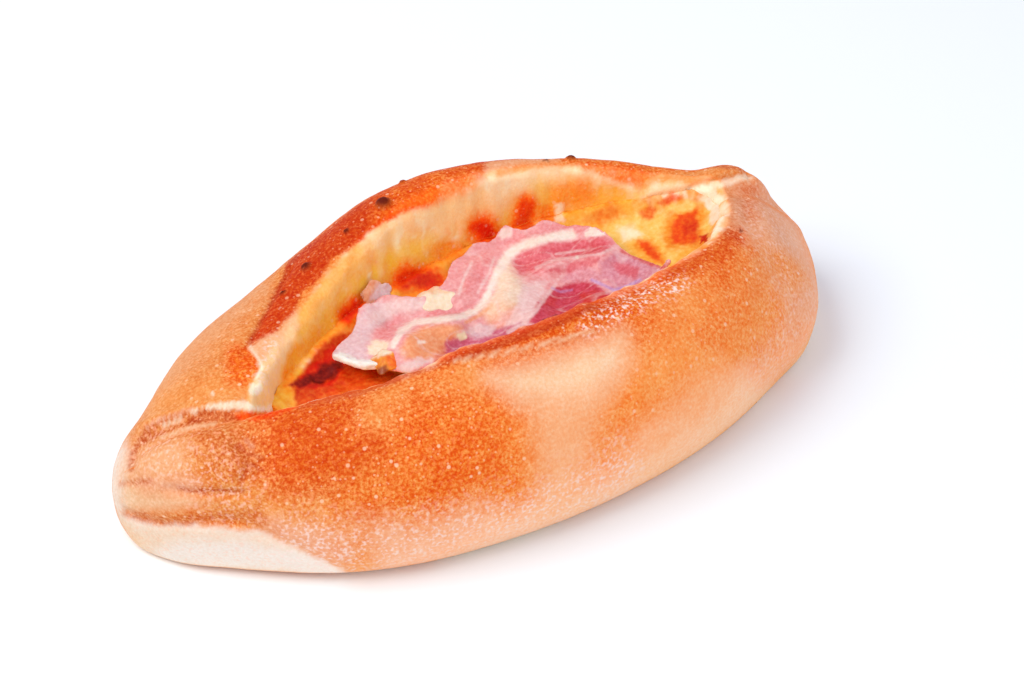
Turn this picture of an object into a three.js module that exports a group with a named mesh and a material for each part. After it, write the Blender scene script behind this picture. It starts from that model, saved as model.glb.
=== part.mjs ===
// A peinirli: an open, boat-shaped bread with melted cheese in its hollow and a slice of bacon on top.
// Millimetres. +X runs along the boat, +Y across it towards its taller wall, and +Z is up.
// The origin is at the middle of the base, on the surface that the bread rests on.

import * as THREE from 'three';

// Driving dimensions of the bread
const LENGTH = 230;
const WIDTH = 120;
const BELLY_HEIGHT = 17;
const BASE_INSET = { start: 9, end: 5.5 };
const BASE_INSET_SHARE = 0.5;
const NOSE_UNDERCUT = { start: 4.5, end: 9 };

// The middle line that the outline is laid off from, as [x, y]: it bends a little at the noses
const MIDDLE_LINE = [[-115, 2.2], [-70, 0], [0, 0], [70, 0], [115, 2]];

// The two walls: on which side of the boat each one is; how full its outline, how blunt its height and how
// flat its slope get towards either nose, from 1 for a round slope to 2 for a flat one; the lumps and
// notches of its outline; how wide it leaves the opening and how full that is; and its rim as [x, z]
const LOW_WALL = {
  side: -1,
  outline: { start: { power: 2.45, root: 1.35 }, end: { power: 2, root: 1.8 } },
  nose: { start: { power: 7, root: 2.2 }, end: { power: 7, root: 1.9 } },
  slope: { start: 1, end: 2 },
  lumps: [{ at: -106, out: 3, reach: 9 }, { at: 96, out: 4, reach: 12 }],
  opening: 22,
  fullness: { start: { power: 1.3, root: 1.35 }, end: { power: 3.2, root: 1.7 } },
  rim: [
    [-115, 41], [-85, 44], [-40, 49.5], [-8, 52.2], [18, 52.4], [45, 49.4], [60, 48], [90, 46], [115, 36],
  ],
};
const HIGH_WALL = {
  side: 1,
  outline: { start: { power: 1.95, root: 1.55 }, end: { power: 1.6, root: 1.4 } },
  nose: { start: { power: 5.9, root: 2.1 }, end: { power: 7, root: 1.9 } },
  slope: { start: 1, end: 1.25 },
  lumps: [{ at: -95, out: -5.5, reach: 13 }, { at: 85, out: -5.5, reach: 12 }],
  opening: 38,
  fullness: { start: { power: 2, root: 1.3 }, end: { power: 2.5, root: 0.85 } },
  rim: [
    [-115, 26], [-85, 42.5], [-55, 42.2], [-15, 52.5], [20, 54], [48, 50], [70, 48], [95, 49.5], [115, 36],
  ],
};

// How the lumps fade out at the noses, and how the slopes change towards them
const NOSE_FADE = { power: 12, root: 2 };
const SLOPE_GROWTH = 4;

// The opening's two tips, the blunt pocket at its end, and the line on which the walls are pinched
// together, as [x, y]
const OPENING_START = -77;
const OPENING_END = 84;
const END_POCKET = { width: 11, power: 6, root: 2 };
const SEAM_LINE = [
  MIDDLE_LINE[0], [-96, -5], [-77, -12], [0, -6.5], [84, 3.5], [100, 3], MIDDLE_LINE.at(-1),
];
const SEAM_GAP = 2.6;
const SEAM_DEPTH = 0.8;
const SEAM_LIP_SHARE = 0.35;

// The rims, which grow to their full size where a wall is this thick, and the hollow between them
const FULL_RIM_WALL = 24;
const RIM_ROUNDING = { across: 7, down: 3.6 };
const RIM_WALL_SHARE = 0.26;
const RIM_SWELLS = [{ height: 0.5, length: 107, shift: 1.3 }, { height: 0.3, length: 60, shift: 2.2 }];
const FLOOR_HEIGHT = 19;
const HOLLOW_POWER = 5;

// The melted cheese: its level along the boat as [x, z], and how it climbs where it meets the walls
const CHEESE_LEVEL = [[-71, 29.5], [5, 31], [50, 33], [84, 39.5]];
const CHEESE_CLIMB = { height: 3.2, power: 6 };
const CHEESE_THICKNESS_LEAST = 1.6;
const CHEESE_REACH_LEAST = 0.05;

// The bacon slice: its two long edges as [x, y] where they lie, its thickness and its waves
const BACON_FAR_EDGE = [
  [-44.5, 6], [-38.5, 8.5], [-32, 14], [-27, 18.3], [-18, 18.8], [-10.5, 13.5], [-4, 16], [8, 24.5], [15, 26],
  [24, 26.8], [33, 24], [44, 18.5], [46.5, 13.5],
];
const BACON_NEAR_EDGE = [
  [-45.5, 3.5], [-41, -3.6], [-32, -11], [-20, -16.5], [0, -20], [25, -20], [44, -17.5], [53, -17],
];
const BACON_THICKNESS = 2.2;
const BACON_WAVES = [
  { height: 2.6, length: 44, lean: 0.4, phase: 0.6 },
  { height: 1.2, length: 21, lean: -0.8, phase: 2.1 },
];
const BACON_EDGE_RIPPLE = { depth: 0.8, length: 11 };

// Loose scraps of fat: whether each lies on the slice or on the filling, its middle as [x, y], its length,
// width and height, and the degrees that its length is turned by from +X
const SCRAPS = {
  torn_scrap: { onBacon: false, at: [-21.5, 21.8], length: 11, width: 3.4, height: 1.6, turn: 10 },
  folded_fat: { onBacon: true, at: [-7.4, 11.3], length: 11.5, width: 9, height: 2.4, turn: -28 },
  browned_curl: { onBacon: true, at: [-33.8, -5.8], length: 11, width: 7.5, height: 2.8, turn: 60 },
};
const SCRAP_EDGE = { thickness: 0.6, lobes: 5, depth: 0.12 };

// Facets, and the clearances that keep touching pieces apart: the cheese needs more in the narrow end
const CLEARANCE = 0.5;
const CHEESE_CLEARANCE = 0.9;
const STATIONS = 62;
const STATION_CROWDING = 0.85;
const RING = { base: 4, lower: 4, upper: 8, rim: 3, hollow: 20 };
const CHEESE_ACROSS = 16;
const BACON_GRID = { along: 38, across: 13 };
const SCRAP_GRID = { along: 10, across: 8 };

const HALF = LENGTH / 2;
const { lerp: mix, clamp } = THREE.MathUtils;

// Even steps from 0 to 1 crowded towards both ends
const crowdedShare = (share) => (1 - Math.cos(share * Math.PI)) / 2;

// Which half of the boat x lies in
const halfOf = (x) => (x < 0 ? 'start' : 'end');

// 1 at the middle and 0 at both ends, by a superellipse
const taper = (t, { power, root }) => Math.pow(Math.max(0, 1 - Math.abs(t) ** power), 1 / root);

// A smooth curve through points of rising x, as a function that gives its second value at x
function curveThrough(points) {
  const spline = new THREE.SplineCurve(points.map(([x, value]) => new THREE.Vector2(x, value)));
  const halvings = 24;
  return (x) => {
    let low = 0;
    let high = 1;
    for (let step = 0; step < halvings; step++) {
      const middle = (low + high) / 2;
      if (spline.getPoint(middle).x < x) low = middle;
      else high = middle;
    }
    return spline.getPoint(low).y;
  };
}

const middleY = curveThrough(MIDDLE_LINE);
const seamY = curveThrough(SEAM_LINE);
const cheeseLevel = curveThrough(CHEESE_LEVEL);
LOW_WALL.rimHeight = curveThrough(LOW_WALL.rim);
HIGH_WALL.rimHeight = curveThrough(HIGH_WALL.rim);

// How open the boat is at x for one wall, from 0 past the tips to about 1 at the middle
function openness(x, wall) {
  const middle = (OPENING_START + OPENING_END) / 2;
  const half = (OPENING_END - OPENING_START) / 2;
  const along = (x - middle) / half;
  if (along < 0) return taper(along, wall.fullness.start);
  const pocket = (along * END_POCKET.width * taper(along, END_POCKET)) / wall.opening;
  return Math.hypot(taper(along, wall.fullness.end), pocket);
}

// Slow swells along a wall, so that no two stretches of the dough are alike
function swell(x, wall) {
  return RIM_SWELLS.reduce((sum, { height, length, shift }) => {
    return sum + height * Math.sin((2 * Math.PI * x) / length + shift * wall.side);
  }, 0);
}

// How far a wall's lumps push its outline out at x, and its notches in
function lumpiness(x, wall) {
  return wall.lumps.reduce((sum, { at, out, reach }) => sum + out * Math.exp(-(((x - at) / reach) ** 2)), 0);
}

// The base's height at x: flat along the boat, and rounded up under each nose
function baseHeight(x) {
  const undercut = NOSE_UNDERCUT[halfOf(x)];
  const past = clamp((Math.abs(x) - HALF + undercut) / undercut, 0, 1);
  return BELLY_HEIGHT * (1 - Math.sqrt(1 - past ** 2));
}

// The sizes of one wall at x: its outer belly and its crest as [y, z], and the y of its inner lip
function wallAt(x, wall) {
  const seam = seamY(x);
  const half = (WIDTH / 2) * taper(x / HALF, wall.outline[halfOf(x)]);
  const belly = middleY(x) + wall.side * (half + lumpiness(x, wall) * taper(x / HALF, NOSE_FADE));
  const open = openness(x, wall);
  const room = Math.min(1, Math.abs(belly - seam) / FULL_RIM_WALL);
  const lip = seam + wall.side * Math.hypot(wall.opening * open, SEAM_GAP * room);
  const rounding = Math.min(RIM_ROUNDING.across * room, RIM_WALL_SHARE * Math.abs(belly - lip));
  const fullRise = wall.rimHeight(x) + swell(x, wall) - BELLY_HEIGHT;
  const rise = fullRise * taper(x / HALF, wall.nose[halfOf(x)]);
  return {
    belly: [belly, BELLY_HEIGHT],
    crest: [lip + wall.side * rounding, BELLY_HEIGHT + rise],
    slope: mix(1, wall.slope[halfOf(x)], Math.abs(x / HALF) ** SLOPE_GROWTH),
    lip,
    open,
    room,
  };
}

// The hollow's depth profile at x: a smooth trough between the two lips
function hollowAt(x) {
  const low = wallAt(x, LOW_WALL);
  const high = wallAt(x, HIGH_WALL);
  const open = (low.open + high.open) / 2;
  const room = Math.min(low.room, high.room);
  const lipDrop = RIM_ROUNDING.down * room * mix(SEAM_LIP_SHARE, 1, open);
  const lipZ = { low: low.crest[1] - lipDrop, high: high.crest[1] - lipDrop };
  const shallow = Math.min(lipZ.low, lipZ.high) - SEAM_DEPTH * room;
  const floor = mix(shallow, FLOOR_HEIGHT, Math.sqrt(open));
  return { low, high, lipZ, floor, middle: (low.lip + high.lip) / 2 };
}

// z of the hollow's surface at y, between the lips
function hollowZ(hollow, y) {
  const onHigh = y > hollow.middle;
  const lip = onHigh ? hollow.high.lip : hollow.low.lip;
  const top = onHigh ? hollow.lipZ.high : hollow.lipZ.low;
  const share = clamp((y - hollow.middle) / (lip - hollow.middle), 0, 1);
  return mix(hollow.floor, top, share ** HOLLOW_POWER);
}

// Half of a section's outside, from the base edge over the belly to the crest and in to the lip
function outsidePoints(wall, sizes, lipZ, baseZ, baseInset) {
  const points = [];
  const [bellyY, bellyZ] = sizes.belly;
  const [crestY, crestZ] = sizes.crest;
  const inset = Math.min(baseInset, BASE_INSET_SHARE * Math.abs(bellyY - crestY)) * wall.side;
  const quarterTurn = (i, steps) => (i / steps) * Math.PI / 2;
  for (let i = 0; i < RING.lower; i++) {
    const angle = quarterTurn(i, RING.lower);
    points.push([bellyY - inset * (1 - Math.sin(angle)), mix(bellyZ, baseZ, Math.cos(angle))]);
  }
  for (let i = 0; i < RING.upper; i++) {
    const angle = quarterTurn(i, RING.upper);
    const out = Math.cos(angle) ** sizes.slope;
    const up = Math.sin(angle) ** sizes.slope;
    points.push([mix(crestY, bellyY, out), mix(bellyZ, crestZ, up)]);
  }
  for (let i = 0; i < RING.rim; i++) {
    const angle = quarterTurn(i, RING.rim);
    points.push([mix(crestY, sizes.lip, Math.sin(angle)), mix(lipZ, crestZ, Math.cos(angle))]);
  }
  return points;
}

// One closed section of the bread at x
function breadRing(x) {
  const hollow = hollowAt(x);
  const baseZ = baseHeight(x);
  const baseInset = mix(BASE_INSET.start, BASE_INSET.end, (x + HALF) / LENGTH);
  const lowSide = outsidePoints(LOW_WALL, hollow.low, hollow.lipZ.low, baseZ, baseInset);
  const highSide = outsidePoints(HIGH_WALL, hollow.high, hollow.lipZ.high, baseZ, baseInset).reverse();
  const trough = [];
  for (let i = 0; i <= RING.hollow; i++) {
    const y = mix(hollow.low.lip, hollow.high.lip, crowdedShare(i / RING.hollow));
    trough.push([y, hollowZ(hollow, y)]);
  }
  const base = [];
  for (let i = 1; i < RING.base; i++) {
    base.push([mix(highSide.at(-1)[0], lowSide[0][0], i / RING.base), baseZ]);
  }
  return [...lowSide, ...trough, ...highSide, ...base].map(([y, z]) => new THREE.Vector3(x, y, z));
}

// A closed skin through rings of equal length, drawn together to a point at each end
function loft(rings, firstPole, lastPole) {
  const around = rings[0].length;
  const vertices = [firstPole, ...rings.flat(), lastPole];
  const last = vertices.length - 1;
  const at = (ring, i) => 1 + ring * around + (i % around);
  const triangles = [];
  for (let i = 0; i < around; i++) {
    triangles.push(0, at(0, i), at(0, i + 1));
    triangles.push(last, at(rings.length - 1, i + 1), at(rings.length - 1, i));
    for (let ring = 0; ring + 1 < rings.length; ring++) {
      triangles.push(at(ring, i), at(ring + 1, i + 1), at(ring, i + 1));
      triangles.push(at(ring, i), at(ring + 1, i), at(ring + 1, i + 1));
    }
  }
  return meshGeometry(vertices, triangles);
}

// A closed slab between two grids of points, with both faces split into triangles alike
function slab(along, across, topAt, bottomAt) {
  const count = (along + 1) * (across + 1);
  const top = [];
  const bottom = [];
  for (let i = 0; i <= along; i++) {
    for (let j = 0; j <= across; j++) {
      top.push(topAt(i, j));
      bottom.push(bottomAt(i, j));
    }
  }
  const at = (i, j) => i * (across + 1) + j;
  const triangles = [];
  for (let i = 0; i < along; i++) {
    for (let j = 0; j < across; j++) {
      const [a, b, c, d] = [at(i, j), at(i + 1, j), at(i + 1, j + 1), at(i, j + 1)];
      triangles.push(a, b, c, a, c, d);
      triangles.push(count + a, count + c, count + b, count + a, count + d, count + c);
    }
  }
  const wall = (p, q) => triangles.push(p, count + p, count + q, p, count + q, q);
  for (let i = 0; i < along; i++) {
    wall(at(i, 0), at(i + 1, 0));
    wall(at(i + 1, across), at(i, across));
  }
  for (let j = 0; j < across; j++) {
    wall(at(along, j), at(along, j + 1));
    wall(at(0, j + 1), at(0, j));
  }
  return meshGeometry([...top, ...bottom], triangles);
}

function meshGeometry(vertices, triangles) {
  const geometry = new THREE.BufferGeometry().setFromPoints(vertices);
  geometry.setIndex(triangles);
  geometry.computeVertexNormals();
  return geometry;
}

// x of every section, crowded towards the noses
function stationsX() {
  const stations = [];
  for (let i = 1; i < STATIONS; i++) {
    const share = i / STATIONS;
    stations.push(mix(-HALF, HALF, mix(share, crowdedShare(share), STATION_CROWDING)));
  }
  return stations;
}

function breadGeometry() {
  const pole = (x) => new THREE.Vector3(x, middleY(x), BELLY_HEIGHT);
  return loft(stationsX().map(breadRing), pole(-HALF), pole(HALF));
}

// The strip across the hollow that the cheese covers at x: from wall to wall where they reach its level
function cheeseStrip(x) {
  const hollow = hollowAt(x);
  const edgeZ = Math.min(cheeseLevel(x) + CHEESE_CLIMB.height, hollow.lipZ.low, hollow.lipZ.high);
  const level = edgeZ - CHEESE_CLIMB.height;
  const reach = (lipZ) => clamp((edgeZ - hollow.floor) / (lipZ - hollow.floor), CHEESE_REACH_LEAST, 1);
  const edge = (lip, lipZ) => mix(hollow.middle, lip, reach(lipZ) ** (1 / HOLLOW_POWER));
  return {
    hollow,
    level,
    low: edge(hollow.low.lip, hollow.lipZ.low) + CHEESE_CLEARANCE,
    high: edge(hollow.high.lip, hollow.lipZ.high) - CHEESE_CLEARANCE,
  };
}

// z of the cheese's top at one place of its strip, share running from -1 to 1 across it
function cheeseTopZ(strip, y, share) {
  const under = hollowZ(strip.hollow, y) + CHEESE_CLEARANCE;
  const climb = CHEESE_CLIMB.height * share ** CHEESE_CLIMB.power;
  return Math.max(strip.level + climb, under + CHEESE_THICKNESS_LEAST);
}

// The cheese has its sections where the bread has them, so that its underside follows the hollow
function cheeseGeometry() {
  const covered = stationsX().filter((x) => x >= CHEESE_LEVEL[0][0] && x <= CHEESE_LEVEL.at(-1)[0]);
  const strips = covered.map((x) => ({ x, ...cheeseStrip(x) }));
  const place = (i, j) => {
    const share = crowdedShare(j / CHEESE_ACROSS);
    return { ...strips[i], share: 2 * share - 1, y: mix(strips[i].low, strips[i].high, share) };
  };
  return slab(
    strips.length - 1,
    CHEESE_ACROSS,
    (i, j) => {
      const at = place(i, j);
      return new THREE.Vector3(at.x, at.y, cheeseTopZ(at, at.y, at.share));
    },
    (i, j) => {
      const at = place(i, j);
      return new THREE.Vector3(at.x, at.y, hollowZ(at.hollow, at.y) + CHEESE_CLEARANCE);
    },
  );
}

// z of the filling's top at a place: the cheese, or the bare wall of the hollow
function bedZ(x, y) {
  const strip = cheeseStrip(x);
  const share = clamp((y - strip.low) / (strip.high - strip.low), 0, 1) * 2 - 1;
  return Math.max(cheeseTopZ(strip, y, share), hollowZ(strip.hollow, y));
}

// z of the underside of something laid on the filling, which clears the steep places beside it too
function restingZ(x, y, reach) {
  return Math.max(bedZ(x, y), bedZ(x, y - reach), bedZ(x, y + reach)) + CLEARANCE;
}

// The slice's waves, always upwards from its bed
function baconLift(x, y) {
  return BACON_WAVES.reduce((sum, wave) => {
    const angle = (2 * Math.PI * (x + wave.lean * y)) / wave.length + wave.phase;
    return sum + (wave.height * (1 + Math.sin(angle))) / 2;
  }, 0);
}

// z of the slice's underside at a place
const baconZ = (x, y) => restingZ(x, y, BACON_THICKNESS / 2) + baconLift(x, y);

// The slice, spread between its two edges and draped on its bed
function baconGeometry() {
  const { along, across } = BACON_GRID;
  const farY = curveThrough(BACON_FAR_EDGE);
  const nearY = curveThrough(BACON_NEAR_EDGE);
  const spanX = (edge, share) => mix(edge[0][0], edge.at(-1)[0], share);
  const underside = (i, j) => {
    const share = i / along;
    const nearX = spanX(BACON_NEAR_EDGE, share);
    const farX = spanX(BACON_FAR_EDGE, share);
    const ripple = BACON_EDGE_RIPPLE.depth * Math.sin((2 * Math.PI * farX) / BACON_EDGE_RIPPLE.length);
    const x = mix(nearX, farX, j / across);
    const y = mix(nearY(nearX) - ripple, farY(farX) + ripple, j / across);
    return new THREE.Vector3(x, y, baconZ(x, y));
  };
  const upside = (i, j) => underside(i, j).add(new THREE.Vector3(0, 0, BACON_THICKNESS));
  return slab(along, across, upside, underside);
}

// One scrap: a low dome with a ragged edge, draped on what it lies on
function scrapGeometry({ onBacon, at, length, width, height, turn }) {
  const { along, across } = SCRAP_GRID;
  const supportZ = (x, y) => {
    if (onBacon) return baconZ(x, y) + BACON_THICKNESS + CLEARANCE;
    return restingZ(x, y, height / 2);
  };
  // A place of the grid on a round disc of radius 1
  const onDisc = (i, j) => {
    const u = (2 * i) / along - 1;
    const v = (2 * j) / across - 1;
    return new THREE.Vector2(u * Math.sqrt(1 - v ** 2 / 2), v * Math.sqrt(1 - u ** 2 / 2));
  };
  const underside = (i, j) => {
    const spot = onDisc(i, j);
    const ragged = 1 + SCRAP_EDGE.depth * Math.sin(SCRAP_EDGE.lobes * spot.angle());
    spot.multiplyScalar(ragged).multiply(new THREE.Vector2(length / 2, width / 2));
    spot.rotateAround(new THREE.Vector2(), THREE.MathUtils.degToRad(turn)).add(new THREE.Vector2(...at));
    return new THREE.Vector3(spot.x, spot.y, supportZ(spot.x, spot.y));
  };
  const upside = (i, j) => {
    const rise = mix(height, SCRAP_EDGE.thickness, Math.min(1, onDisc(i, j).lengthSq()));
    return underside(i, j).add(new THREE.Vector3(0, 0, rise));
  };
  return slab(along, across, upside, underside);
}

const material = (color, roughness) => new THREE.MeshStandardMaterial({ color, roughness, metalness: 0 });

function piece(name, geometry, look) {
  const mesh = new THREE.Mesh(geometry, look);
  mesh.name = name;
  return mesh;
}

const peinirli = new THREE.Group();
peinirli.add(piece('bread', breadGeometry(), material(0xd9863f, 0.7)));
peinirli.add(piece('cheese', cheeseGeometry(), material(0xf2b84b, 0.45)));
peinirli.add(piece('bacon', baconGeometry(), material(0xe39a9f, 0.4)));
for (const [name, scrap] of Object.entries(SCRAPS)) {
  peinirli.add(piece(name, scrapGeometry(scrap), material(0xf3d9c8, 0.4)));
}

export default peinirli;
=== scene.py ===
"""The looks of a peinirli: baked crust, melted cheese, bacon and scraps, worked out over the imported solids.

Lengths are millimetres in the part's own frame. Colours are named by how the photo shows them, in sRGB
from 0 to 255, and are divided by the light that reaches each place before they are written to a mesh.
Places that show in the photo are named lists of its pixels. Relief follows the places where the view
through those pixels meets a solid, and paint lies on the points that show at them.
"""
import itertools
import math

import bmesh
import bpy
import numpy as np
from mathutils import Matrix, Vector
from mathutils.bvhtree import BVHTree


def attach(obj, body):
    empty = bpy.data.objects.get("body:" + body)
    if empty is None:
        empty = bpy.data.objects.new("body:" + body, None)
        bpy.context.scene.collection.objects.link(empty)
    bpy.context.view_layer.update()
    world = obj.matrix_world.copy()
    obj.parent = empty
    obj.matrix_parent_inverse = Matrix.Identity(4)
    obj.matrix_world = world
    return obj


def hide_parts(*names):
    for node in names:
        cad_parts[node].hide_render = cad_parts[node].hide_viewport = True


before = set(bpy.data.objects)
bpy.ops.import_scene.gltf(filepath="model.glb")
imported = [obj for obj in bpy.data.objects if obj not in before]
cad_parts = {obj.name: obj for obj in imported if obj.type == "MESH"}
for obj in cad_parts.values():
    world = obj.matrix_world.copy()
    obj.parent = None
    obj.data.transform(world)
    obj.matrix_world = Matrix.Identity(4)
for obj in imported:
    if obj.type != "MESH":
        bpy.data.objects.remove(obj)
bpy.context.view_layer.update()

MM = 0.001

# The photo's view
PHOTO_WIDTH = 1024
PHOTO_HEIGHT = 683
FOCAL_PIXELS = 2401
SENSOR_WIDTH = 36
VIEW_TURN = math.radians(31)
VIEW_DROP = math.radians(40)
VIEW_TARGET = np.array([10.5, -0.5, 20.0])
VIEW_DISTANCE = 700
FORWARD = np.array([
    math.sin(VIEW_TURN) * math.cos(VIEW_DROP),
    math.cos(VIEW_TURN) * math.cos(VIEW_DROP),
    -math.sin(VIEW_DROP),
])
RIGHTWARD = np.array([math.cos(VIEW_TURN), -math.sin(VIEW_TURN), 0.0])
UPWARD = np.cross(RIGHTWARD, FORWARD)
EYE = VIEW_TARGET - VIEW_DISTANCE * FORWARD
PIXELS_PER_MM = FOCAL_PIXELS / VIEW_DISTANCE

# Pixels between the places of a path, and how often a view that passes the solids is brought closer
PATH_STEP = 3.0
CLOSER_ROUNDS = 12

# How finely each piece is cut, and how many rounds of smoothing take off the solid's facets
CRUST_CELL = 0.94
CHEESE_CELL = 0.5
BACON_CELL = 0.4
SCRAP_CELL = 0.25
WELD_DISTANCE = 0.001
CRUST_ROUNDS = 18
CHEESE_ROUNDS = 16
BACON_ROUNDS = 8
SCRAP_ROUNDS = 5

# Unevenness of each surface, as layers of noise: how much of it, millimetres of its lumps, and its seed
CRUST_LUMPS = [(0.5, 30, 1), (0.22, 9, 2), (0.1, 3.2, 3)]
WALL_STREAKS = [(0.55, (4, 4, 10), 21), (0.3, (2, 2, 6), 22)]
CHEESE_LUMPS = [(0.7, 8, 33), (0.35, 3, 34), (0.3, 2.2, 35)]
BACON_WAVES = [(0.6, 10, 41), (0.25, 4, 42)]
BACON_RAGGED = [(1.1, 6, 43), (0.4, 2.2, 44)]
SCRAP_LUMPS = [(0.25, 3, 51), (0.15, 1.4, 52)]

# The same for what varies the colours
BROWNING_CHANCE = [(0.13, 26, 11), (0.07, 9, 12)]
# Its first two layers follow the relief of the inner wall's streaks, so the raised streaks are paler and the
# hollows between them darker: partly painted light and shade, partly the wall's own varied tone
WALL_TONE_AND_STREAK_SHADING = [(0.32, (4, 4, 10), 21), (0.256, (2, 2, 6), 22), (0.192, 1.5, 23)]
TORN_STREAKS = {
    "cream": [(1.0, (2.2, 2.2, 5), 24), (0.4, 1.4, 28)],
    "tan": [(1.0, (2.2, 2.2, 5), 25), (0.4, 1.4, 29)],
}
CHEESE_CHANCE = [(0.35, 12, 31), (0.2, 4, 32)]
BACON_VEINS = {"cover": 0.3, "edge": (0.16, 0.02), "layers": [(1.0, (9, 4, 9), 47)]}
VEIN_BEND = {"across": [(3.0, 11, 45)], "along": [(3.0, 11, 46)]}

# Where the crust turns into the inner wall, by the way that it faces and by height
INSIDE_FACING = (0.05, 0.4)
INSIDE_HEIGHT = (22, 27)

# Where the crust rests on the floor, by height, and the share of its relief that it loses there
RESTING_HEIGHT = (6, 1)
RESTING_SHARE = 0.8

# Where the cheese faces up, and how it climbs the wall, closes the gap and takes its colour, in mm
CHEESE_TOP_FACING = (0.1, 0.5)
CHEESE_CLIMB = 1.6
CLIMBING_GAP = (4, 0.5)
FILLED_GAP = (1.6, 0.8)
PAST_THE_WALL = 0.5
WALL_TINT_GAP = (6, 1)

# How far the scraps settle: millimetres down, and the share of their height that is left
SCRAP_SINK = {"torn_scrap": 0.3, "folded_fat": 1.2, "browned_curl": 0.6}
SCRAP_SHARE = 0.85

# Lights: watts, metres of side, metres of distance, the direction that each stands in, and its colour
KEY_LIGHT = {
    "power": 9.8, "size": 0.8, "distance": 1.2, "direction": (-0.7, 0.15, 1.0), "colour": (1.0, 0.97, 0.9),
}
FRONT_LIGHT = {
    "power": 4.8, "size": 1.4, "distance": 1.4, "direction": (0.1, -1.0, 0.7), "colour": (1.0, 0.97, 0.93),
}
SKY_COLOUR = (0.9, 0.86, 1.0)
SKY_STRENGTH = 0.68
FLOOR_SIZE = 8000
FLOOR_DROP = 0.1
FLOOR_COLOUR = (0.88, 0.96, 0.99)

# How bright those lights make a white surface: evenly, by the way that it faces, and by where it lies
LIGHT_EVEN = 1.06
LIGHT_BY_FACING = np.array([-0.27, 0.06, 0.15])
LIGHT_RANGE = (0.8, 1.45)
WALL_LIGHT = 0.79
FILLING_LIGHT = {"start": 0.72, "end": 0.92}
LIGHT_TINT = np.array([1.0, 0.965, 1.0])
WHITEST = 0.96

# Colours as the photo shows them
COLOURS = {
    "white": (255, 250, 243),
    # Also the painted highlight on the lit edge of the nose
    "flour and highlight": (255, 240, 229),
    "cream": (254, 232, 204),
    "pale dough": (254, 210, 170),
    "foot peach": (253, 192, 156),
    "peach": (252, 186, 138),
    "pink peach": (249, 180, 148),
    "rose tan": (235, 166, 128),
    "grey pink": (230, 188, 164),
    "tan": (240, 148, 80),
    "light orange": (251, 162, 88),
    "orange": (248, 138, 58),
    "deep orange": (240, 109, 30),
    "nose brown": (222, 110, 52),
    "browned orange": (228, 90, 20),
    "red orange": (245, 108, 24),
    "vivid orange": (249, 76, 4),
    "rim red": (217, 66, 10),
    "rim brown": (196, 66, 30),
    "rust": (204, 86, 46),
    # Char of the baked bubbles and dark spots, and also the painted shadow in the gap by the bacon
    "soot and shadow": (112, 32, 14),
    "wall peach": (253, 184, 128),
    "wall cream": (252, 186, 122),
    "wall yellow": (250, 168, 84),
    "ochre": (240, 146, 40),
    "deep ochre": (216, 126, 24),
    "yellow": (253, 178, 62),
    "bright yellow": (252, 204, 108),
    "glare": (255, 238, 200),
    "amber": (248, 146, 38),
    "browned": (240, 84, 8),
    "burnt": (205, 30, 2),
    "charred": (112, 10, 1),
    "red floor": (196, 62, 12),
    "floor orange": (212, 86, 22),
    "lean": (246, 168, 169),
    "pale lean": (249, 212, 210),
    "pink lean": (243, 150, 153),
    "deep lean": (236, 112, 122),
    "red lean": (226, 84, 98),
    "shaded magenta lean": (212, 62, 86),
    "blood red": (220, 44, 26),
    "plum": (212, 92, 122),
    "lilac": (233, 204, 208),
    "rosy lilac": (226, 146, 164),
    "violet": (206, 162, 216),
    "fat": (254, 236, 224),
    "fat peach": (252, 213, 180),
    "fat orange": (249, 166, 118),
    # Painted shade, for the hump's side by the near rim
    "shaded fat brown": (234, 122, 80),
    # Painted shade, for the hollow under the browned curl
    "shaded hollow": (150, 58, 22),
}

# Colours by level, from the lowest up
NEAR_SIDE = [
    (0.0, "foot peach"), (0.14, "light orange"), (0.35, "orange"), (0.75, "orange"), (1.0, "deep orange"),
]
FAR_SIDE = [(0.0, "foot peach"), (0.3, "peach"), (0.7, "tan"), (0.9, "orange"), (1.04, "rim red")]
FAR_SIDE_FROM = (-6, 14)
BROWNING_HEIGHT = 50
UNDERSIDE = [(0.2, "pale dough"), (0.8, "tan")]
UNDERSIDE_FACING = (-0.5, -0.9)
INNER_WALL = [
    (0.05, "ochre"), (0.3, "yellow"), (0.55, "wall yellow"), (0.8, "wall cream"), (1.0, "wall peach"),
    (1.5, "cream"),
]
TORN_LEVEL = (0.3, 0.8)
TORN_EDGE = (0.15, 0.6)
TORN_COVER = 0.7
CHEESE_TONES = [(0.0, "amber"), (0.35, "yellow"), (0.8, "bright yellow"), (1.0, "glare")]

# A stroke's edge: its fade, reach and lumps as shares of its half width, and how ragged it is
SOFT_EDGE = {"inner": 0.0, "outer": 1.6, "ragged": 0.22}
CRISP_EDGE = {"inner": 0.3, "outer": 1.4, "ragged": 0.2}
STROKE_REACH = 2.5
STROKE_LUMP = 0.7

# How ragged a patch's edge is, in pixels, and the lumps of a ragged edge, in millimetres
PATCH_RAGGED = 2.0
EDGE_LUMP = 2.2
FINE_EDGE_LUMP = 1.0
FINE_EDGE_SIZE = 0.4
FINE_EDGE_SHARE = 0.7

# Paint fades out where the surface turns away from the photo's view
FACING_FADE = (-0.02, 0.26)

# Seeds that each kind of edge counts on from
SEEDS = {"stroke": 0, "patch": 20, "fine lumps": 50, "glow": 100, "core": 200, "fleck": 300}

# The middle line of the opening, as [x, y] of its two ends, and the heights that its walls span
OPENING_LINE = np.array([[-62.0, -9.0], [68.0, 1.0]])
HOLLOW_FLOOR = 25.0
HOLLOW_DEPTH = 24.0

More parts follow.
